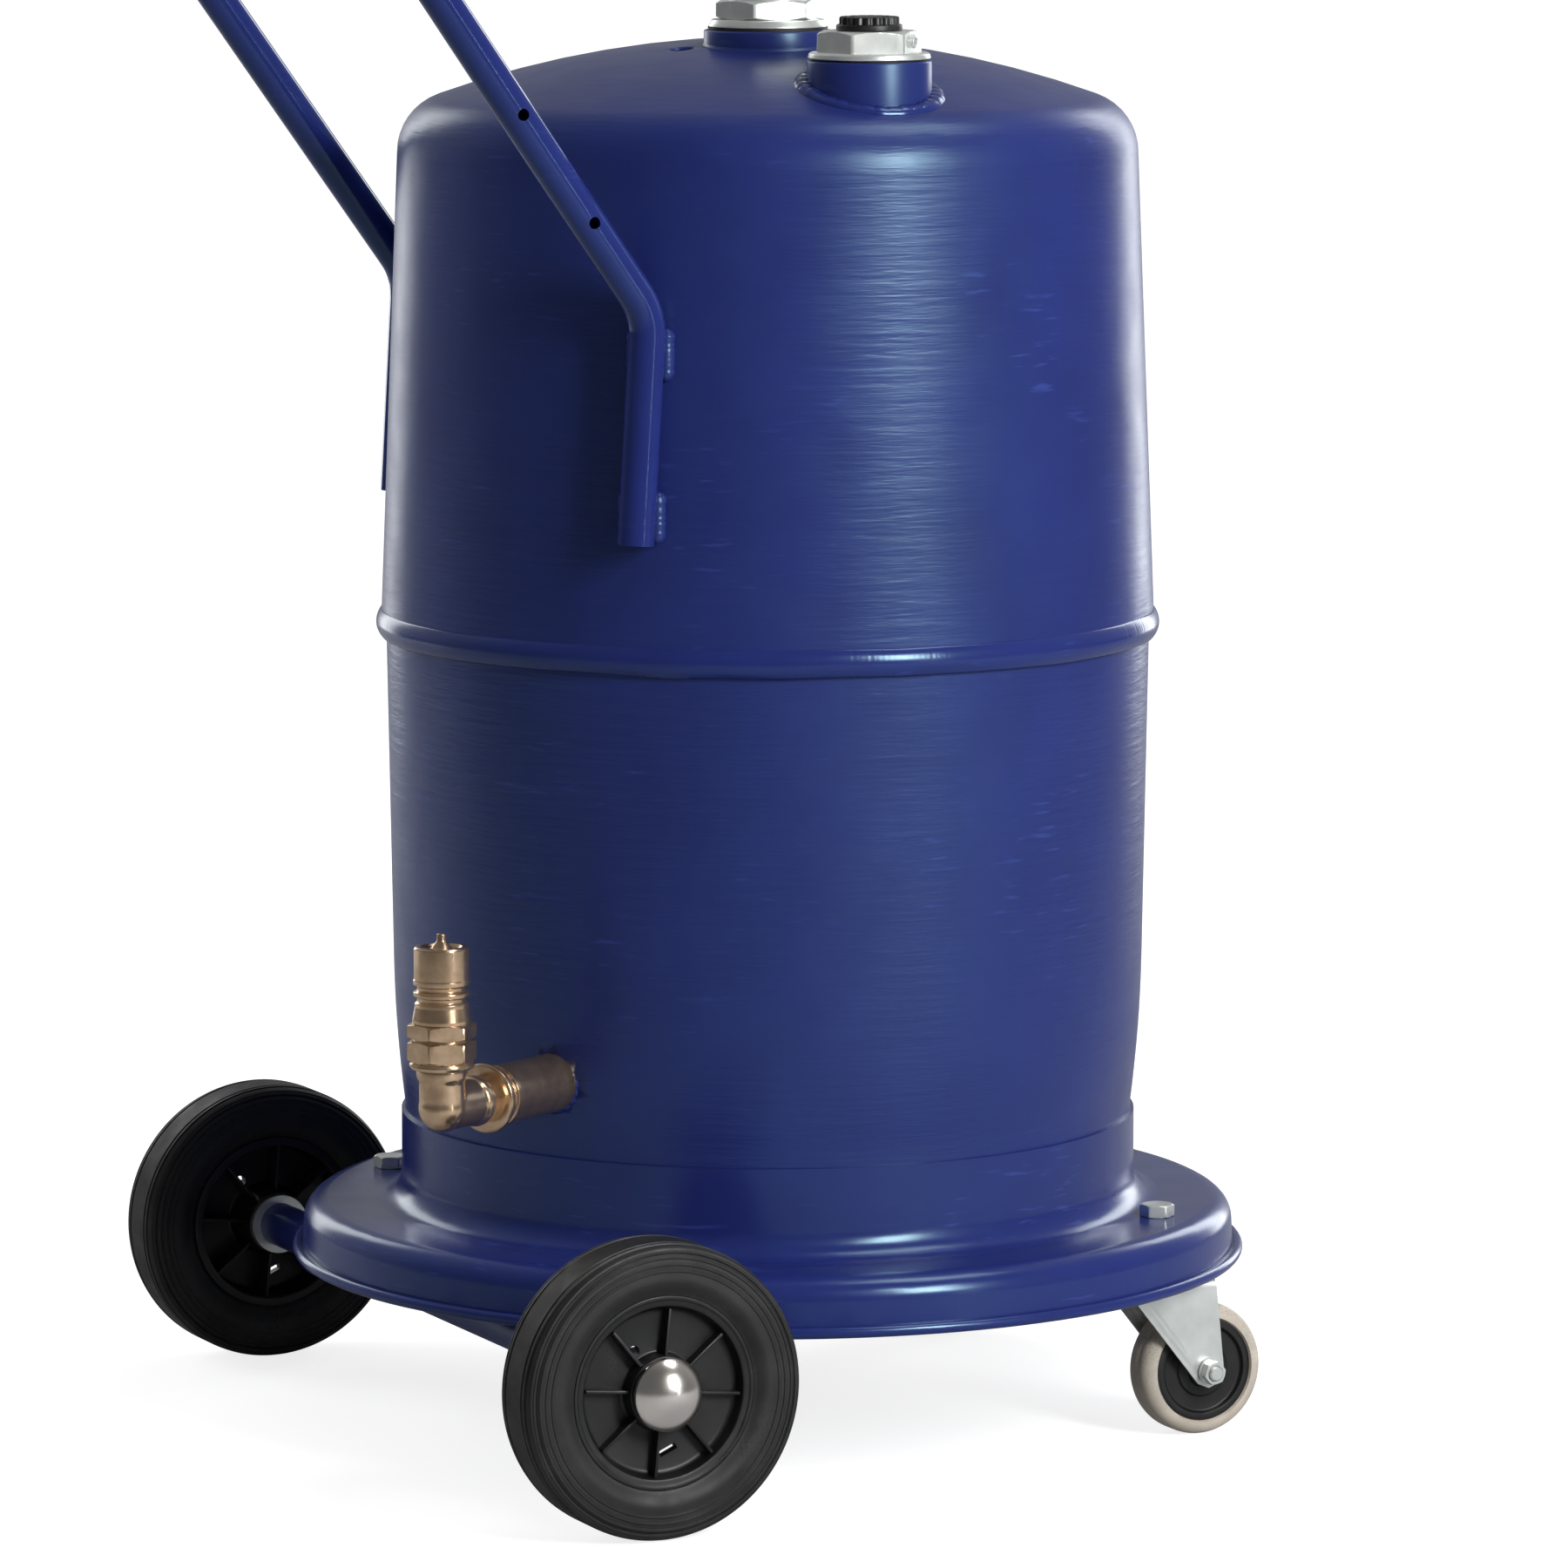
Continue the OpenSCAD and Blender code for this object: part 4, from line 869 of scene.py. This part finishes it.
def wheel_hub(side):
    """A moulded hub with eight ribs on its web and two windows through it."""
    sign = SIDES[side]
    bm = bmesh.new()
    turn_into(bm, rounded([
        (13, -22), (18, -22, 1), (19.2, -4), (20.5, 2.6, 2), (43.5, 3.2, 2), (45, -16.5, 1.0),
        (50, -16.5, 0.5), (50, 15), (RIM_R, 15.6), (RIM_R, HUB_FRONT, 0.7), (50.6, HUB_FRONT, 0.5),
        (49.6, HUB_FRONT - 0.7, 0.5), (46.6, HUB_FRONT - 1.0, 1.2), (44.6, 9.0, 3), (20.6, 8.2, 1.5),
        (20, 18, 0.8), (13, 18)]), 144)
    back, front = RIB_SPAN
    for i in range(RIBS):
        place = hub_turn(360 / RIBS * i + RIB_FROM, sign) @ Matrix.Translation((RIB_R, 0, (back + front) / 2))
        place = place @ Matrix.Diagonal((*RIB_SIZE, front - back, 1))
        made = bmesh.ops.create_cube(bm, size=1, matrix=place)
        edges = {e for v in made["verts"] for e in v.link_edges}
        bmesh.ops.bevel(bm, geom=list(edges), offset=0.45, segments=2, profile=0.5, affect="EDGES")
    cutter = hub_windows("wheel_windows_" + side, sign)
    hub = new_piece("wheel_hub_" + side + "_moulded", bm, 34)
    cut = hub.modifiers.new("windows", "BOOLEAN")
    cut.operation = "DIFFERENCE"
    cut.solver = "EXACT"
    cut.use_self = True
    cut.object = cutter
    baked(hub)
    bpy.data.objects.remove(cutter)
    hub.data.set_sharp_from_angle(angle=math.radians(34))
    set_at(hub, joint_mm("wheel_%s_spin" % side), X * sign, Y * sign)
    finish_piece(hub, "wheel_" + side, "hub_plastic", "wheel_hub_" + side)


# ---------- castors ----------

CASTOR_R = 37.5
FORK_HALF = 18
FORK_T = 2.5
LEG_END_R = 9.5
CROWN_TOP = 90.5


def fork_edges(z, axle_z):
    """The fork leg's back and front edge at a height, measured from the wheel's axle towards the front."""
    top, back, back_low, front = CROWN_TOP - axle_z, -48, (-45, 41), 4
    up = z - axle_z
    if up <= -LEG_END_R + 0.01:
        return -0.3, 0.3

    def touching(corner, side):
        distance = math.hypot(*corner)
        spread = math.acos(LEG_END_R / distance)
        turn = math.atan2(corner[1], corner[0]) + side * spread
        return LEG_END_R * math.cos(turn), LEG_END_R * math.sin(turn)

    def edge(corner, side):
        tx, tz = touching(corner, side)
        if up < tz:
            return math.copysign(math.sqrt(LEG_END_R ** 2 - up ** 2), -side)
        return tx + (corner[0] - tx) * min(1, (up - tz) / (corner[1] - tz))
    rear = edge(back_low, 1) if up < back_low[1] else back_low[0] + (back - back_low[0]) * (
        (up - back_low[1]) / (top - back_low[1]))
    return rear, edge((front, top), -1)


def castor_fork(side):
    """A pressed fork: one bent sheet with a soft crease near its rear edge."""
    axle = joint_mm("castor_%s_spin" % side)
    bend, press = 5.0, 0.9
    leg_steps, bend_steps, crown_steps, columns = 33, 6, 4, 22
    path = []
    low = axle.z - LEG_END_R
    for k in range(leg_steps + 1):
        part = 1 - (1 - k / leg_steps) ** 1.6
        path.append((FORK_HALF, low + (CROWN_TOP - bend - low) * part, 1.0, 0.0))
    for k in range(1, bend_steps + 1):
        a = math.radians(90 * k / bend_steps)
        path.append((FORK_HALF - bend + bend * math.cos(a), CROWN_TOP - bend + bend * math.sin(a),
                     math.cos(a), math.sin(a)))
    path += [((FORK_HALF - bend) * (1 - k / crown_steps), CROWN_TOP, 0.0, 1.0)
             for k in range(1, crown_steps + 1)]
    path += [(-x, z, -nx, nz) for x, z, nx, nz in path[-2::-1]]
    bm = bmesh.new()
    outer, inner = [], []
    for x, z, nx, nz in path:
        rear, front = fork_edges(min(z, CROWN_TOP), axle.z)
        row_out, row_in = [], []
        for k in range(columns + 1):
            t = k / columns
            y = rear + (front - rear) * t
            lift = press * math.exp(-((y - rear - 5.5) / 1.7) ** 2) * min(1, max(0, (z - axle.z) / 14))
            at = Vector((x - nx * (press - lift * abs(nx)), y, z))
            row_out.append(bm.verts.new(at))
            row_in.append(bm.verts.new(at - Vector((nx, 0, nz)) * (FORK_T - press * abs(nx))))
        outer.append(row_out)
        inner.append(row_in)
    rows = len(path)
    for i in range(rows - 1):
        for k in range(columns):
            bm.faces.new((outer[i][k], outer[i + 1][k], outer[i + 1][k + 1], outer[i][k + 1]))
            bm.faces.new((inner[i][k], inner[i][k + 1], inner[i + 1][k + 1], inner[i + 1][k]))
        for k in (0, columns):
            bm.faces.new((outer[i][k], inner[i][k], inner[i + 1][k], outer[i + 1][k]))
    for i in (0, rows - 1):
        for k in range(columns):
            bm.faces.new((outer[i][k], outer[i][k + 1], inner[i][k + 1], inner[i][k]))
    for vert in bm.verts:
        vert.co -= Vector((0, 0, axle.z))
    fork = new_piece("castor_fork_" + side + "_pressed", bm, 50)
    soften(fork, 0.5, 60)
    set_at(fork, axle)
    finish_piece(fork, "castor_" + side, "zinc_plate", "castor_fork_" + side)


def castor_race(side):
    """The fork's lower race, which shows under the head."""
    swivel = joint_mm("castor_%s_swivel" % side)
    race = lathe("castor_race_" + side, rounded([
        (9.2, 90.2), (22.5, 90.2, 0.8), (24, 92.6, 0.8), (23.2, 93.2), (21.6, 91.6), (9.2, 91.6)]), 72)
    set_at(race, Vector((swivel.x, swivel.y, 0)))
    finish_piece(race, "castor_" + side, "zinc_plate")


def castor_heads():
    """The fixed upper races and the swaged kingpins under the front bosses."""
    low, high = box_mm("castor_heads")
    for side in SIDES:
        swivel = joint_mm("castor_%s_swivel" % side)
        head = lathe("castor_head_" + side, rounded([
            (5.25, low.z), (11.4, low.z, 0.8), (12, low.z + 2.4, 0.8), (8.2, low.z + 3.6), (8.2, 96),
            (21, 96), (23, 93.2, 0.5), (24.5, 93.2, 0.4), (23.4, 98.2, 1.6), (14.2, 98.6, 1.0),
            (13, 100.4, 0.8), (13, high.z, 0.3), (5.25, high.z)]), 96)
        set_at(head, Vector((swivel.x, swivel.y, 0)))
        finish_piece(head, "tank", "zinc_plate", *(["castor_heads"] if side == "left" else []))


def castor_fasteners(side):
    """The M8 axle bolt, with its head inside, and its washer and nut outside."""
    sign = SIDES[side]
    axle = joint_mm("castor_%s_spin" % side)
    grip = FORK_HALF + 0.2
    bolt = bmesh.new()
    inward = Matrix.Rotation(math.pi, 4, "X")
    hex_head(bolt, inward @ Matrix.Translation((0, 0, grip)), 13, 5.3)
    shank(bolt, inward, 4, -grip - 8.4, grip + 0.1, -grip + 2)
    piece = new_piece("castor_axle_bolt_" + side, bolt, 30)
    set_at(piece, axle, X * sign, Y * sign)
    finish_piece(piece, "castor_" + side, "zinc_plate", "castor_bolt_" + side)
    nut = bmesh.new()
    turn_into(nut, rounded([(4.2, grip - 0.1), (7.2, grip - 0.1, 0.3), (7.2, grip + 1.0, 0.3),
                            (4.2, grip + 1.0)]), 48)
    hex_nut(nut, Matrix.Translation((0, 0, grip + 1.0)), 12, 5.8, 3.9, 12)
    piece = new_piece("castor_axle_nut_" + side, nut, 30)
    set_at(piece, axle, X * sign, Y * sign)
    finish_piece(piece, "castor_" + side, "zinc_plate", "castor_nut_" + side)


def castor_wheel(side):
    """A crowned grey tyre with a fine mould line, on a black hub."""
    sign = SIDES[side]
    axle = joint_mm("castor_%s_spin" % side)
    body = "castor_wheel_" + side
    half, hub_r, crown = 12, 29.2, 7.5
    angles = [math.radians(a) for a in range(0, 91, 9)]
    arc = [(CASTOR_R - crown + crown * math.cos(a), half - crown + crown * math.sin(a)) for a in angles]
    outline = ([(hub_r - 1.6, 0), (hub_r, half - 1.3), (hub_r + 0.7, half - 0.3)] + arc[::-1]
               + [(CASTOR_R, 3.2), (CASTOR_R - 0.25, 2.9), (CASTOR_R - 0.25, 2.5), (CASTOR_R, 2.2)]
               + [(r, -z) for r, z in arc] + [(hub_r + 0.7, -half + 0.3), (hub_r, -half + 1.3)])
    tyre = lathe("castor_tyre_" + side + "_moulded", outline, 120, sharp=40)
    set_at(tyre, axle, X * sign, Y * sign)
    finish_piece(tyre, body, "grey_rubber", "castor_tyre_" + side)
    profile = [(6.05, half + 2.5), (9.6, half + 2.5, 0.6), (10.2, half - 1.2, 0.8), (15, half - 2.0, 0.6),
               (16, half - 3.4, 0.6), (24, half - 3.4, 1.2), (25.2, half - 0.9, 0.5),
               (27.6, half - 0.9, 0.5), (hub_r, half - 1.5)]
    other = [(p[0], -p[1], *p[2:]) for p in profile[::-1]]
    outline = rounded(profile + [(hub_r - 1.6, 0)] + other)
    hub = lathe("castor_hub_" + side + "_moulded", outline, 96, sharp=34)
    set_at(hub, axle, X * sign, Y * sign)
    finish_piece(hub, body, "hub_plastic", "castor_hub_" + side)


# ---------- drain ----------

DRAIN_Z = 217
DRAIN_TURN = math.radians(-60)
DRAIN_OUT = Vector((math.cos(DRAIN_TURN), math.sin(DRAIN_TURN), 0))
ELBOW_REACH = 309


def along_drain(piece, slot, *nodes):
    """Finishes a piece that is turned about the drain's own line."""
    set_at(piece, TANK + UP * DRAIN_Z, DRAIN_OUT, UP)
    return finish_piece(piece, "tank", slot, *nodes)


def at_coupling(piece, body, *nodes):
    """Finishes a brass piece that is turned about the coupling's upright line."""
    set_at(piece, TANK + DRAIN_OUT * ELBOW_REACH, UP)
    return finish_piece(piece, body, "brass", *nodes)


def drain_pipework():
    """The welded sleeve, its weld, the lock ring and the cast elbow."""
    along_drain(lathe("drain_sleeve_turned", rounded([
        (12.5, 196), (16.2, 196), (16.2, 256.5, 0.3), (16.8, 257.2, 0.3), (16.8, 261.6, 0.3),
        (15.6, 262.1, 0.3), (15.6, 263.6, 0.3), (12.5, 264)]), 96), "brass", "drain_sleeve")
    scales, scale_h = ripple(19), 0.4

    def scaly(r, z, degrees):
        rise = scale_h * scales(degrees)
        return r + (rise if r > 16.5 else 0), z + (rise if z > 206 else 0)
    along_drain(lathe("drain_sleeve_weld", rounded([
        (15.6, 203), (17.6, 204, 0.8), (17.4, 207.2, 1.2), (16.7, 208.4, 0.8), (15.6, 209)]), 176,
        scaly, 60), "blue_paint")
    along_drain(lathe("elbow_lock_ring", rounded([
        (12.5, 267.5), (18.4, 267.5, 0.6), (19, 269, 0.6), (19, 271, 0.8), (17.6, 272, 0.5),
        (12.5, 272)]), 96), "brass", "elbow_ring")
    bm = bmesh.new()
    to_drain = Matrix.Rotation(math.pi / 2, 4, "Y")
    tube = 12.5
    collar = [(0, -32), (13.6, -32), (13.8, -30), (13.8, -26.5), (13.2, -25), (0, -25)]
    turn_into(bm, [(0, -81), (tube, -81), (tube, 0), (0, 0)], 64, None, to_drain)
    turn_into(bm, collar, 64, None, to_drain)
    turn_into(bm, [(0, 0), (tube, 0), (tube, 33), (0, 33)], 64)
    turn_into(bm, [(0, 15.5), (13.2, 15.5), (13.8, 17), (13.8, 22), (0, 22)], 64)
    bmesh.ops.create_uvsphere(bm, u_segments=48, v_segments=32, radius=12.9)
    elbow = new_piece("drain_elbow_cast", bm, 60)
    remesh = elbow.modifiers.new("cast", "REMESH")
    remesh.mode = "VOXEL"
    remesh.voxel_size = 0.7 * MM
    remesh.use_smooth_shade = True
    smooth = elbow.modifiers.new("soften", "CORRECTIVE_SMOOTH")
    smooth.factor = 0.5
    smooth.iterations = 6
    smooth.use_only_smooth = True
    baked(elbow)
    elbow.data.shade_smooth()
    set_at(elbow, TANK + DRAIN_OUT * ELBOW_REACH + UP * DRAIN_Z, UP, DRAIN_OUT)
    finish_piece(elbow, "tank", "brass", "drain_elbow")


def coupling():
    """The brass valve nipple on its double hexagon, with the valve pin that its mate pushes down."""
    flats = 33
    foot = 239
    outline = (rounded([(12.5, foot), (17, foot, 0.6), (17.6, foot + 1.6, 0.6), (17.2, foot + 4, 0.8)])
               + hex_band(foot + 4.1, foot + 15.2, flats, 1.1, 1.1)
               + rounded([(15.4, foot + 15.3), (15.2, foot + 16.4)])
               + hex_band(foot + 16.5, foot + 24.6, flats, 1.0, 1.2)
               + [(13.2, foot + 24.6), (13, foot + 10), (12.5, foot + 10)])
    shape = hexed([(foot + 4.05, foot + 15.25, flats), (foot + 16.45, foot + 24.6, flats)], 16.4)
    at_coupling(lathe("coupling_nut_double", outline, 192, shape, 30), "tank", "coupling_nut")
    base, top = 263.6, 305
    at_coupling(lathe("coupling_nipple", rounded([
        (10, 251), (13, 251), (13, base), (15.9, base, 0.3), (15.9, base + 2, 0.6), (14.6, base + 9, 0.6),
        (14.6, base + 11, 0.5), (13.3, base + 12, 0.5), (13.3, base + 14, 0.5), (15.2, base + 14.8, 0.4),
        (15.2, base + 17, 0.6), (13.2, base + 18, 0.5), (13.2, base + 20, 0.6), (15.3, base + 21, 0.5),
        (15.3, base + 23.4, 0.4), (14.9, base + 24), (14.9, top - 1, 0.8), (14.0, top, 0.4),
        (11.2, top, 0.3), (10, top - 1.2), (6.5, top - 1.2, 0.2), (6.5, top - 4), (10, top - 4)]), 128,
        sharp=30), "tank", "coupling_body")
    head = top - 4.3
    at_coupling(lathe("coupling_valve_pin", rounded([
        (0, 263), (2, 263), (2, head - 4), (9.2, head - 4), (9.2, head), (6.1, head), (6.1, head + 3.6, 0.3),
        (5.2, head + 4.0, 0.4), (2.7, head + 7.2, 0.8), (2.4, head + 8), (2.4, top + 6.8, 0.5),
        (0, top + 7.2)]), 64), "drain_valve", "coupling_poppet")


# ---------- carried-over CAD nodes ----------

PAINT_OF = {"upper_shell": "blue_shell", "lower_shell": "blue_shell", "base_ring": "blue_weld",
            "handle_tube": "blue_tube"}
SOFT_EDGES = {"axle_bracket_left": 0.6, "axle_bracket_right": 0.6, "gauge_port_plug": 0.4,
              "axle_washers": 0.25, "castor_bosses": 0.5, "handle_tube": 0.3}


SMOOTH = ("upper_shell", "lower_shell", "base_ring")


def smooth_cad(node):
    """Joins a CAD node's faces across the seams of its surfaces, for one even highlight."""
    weld = node.modifiers.new("weld", "WELD")
    weld.merge_threshold = 0.01 * MM
    node.modifiers.new("normals", "WEIGHTED_NORMAL").keep_sharp = True


def coat_cad_nodes():
    """Gives every CAD node its material, and finishes the edges of those that stay visible."""
    for part in frame["record"]["subparts"]:
        node = frame["nodes"][part["node"]]
        node.data.materials.clear()
        node.data.materials.append(MATERIALS[PAINT_OF.get(part["node"], part["material_slot"])])
    for name, width in SOFT_EDGES.items():
        soften(frame["nodes"][name], width)
    for name in SMOOTH:
        smooth_cad(frame["nodes"][name])


make_camera()
make_stage()
MATERIALS = make_materials()
coat_cad_nodes()
seam_bead()
neck("outlet_neck_turned", "outlet_neck", rim=2.2, foot_flare=3.5)
neck("filler_neck_turned", "filler_neck", rim=1.5, foot_flare=0)
filler_weld()
outlet_adaptor()
filler_plug()
vent_cap()
handle_weld_beads()
flange_fasteners()
hub_caps()
castor_heads()
for wheel_side in SIDES:
    wheel_tyre(wheel_side)
    wheel_hub(wheel_side)
    castor_fork(wheel_side)
    castor_race(wheel_side)
    castor_fasteners(wheel_side)
    castor_wheel(wheel_side)
drain_pipework()
coupling()
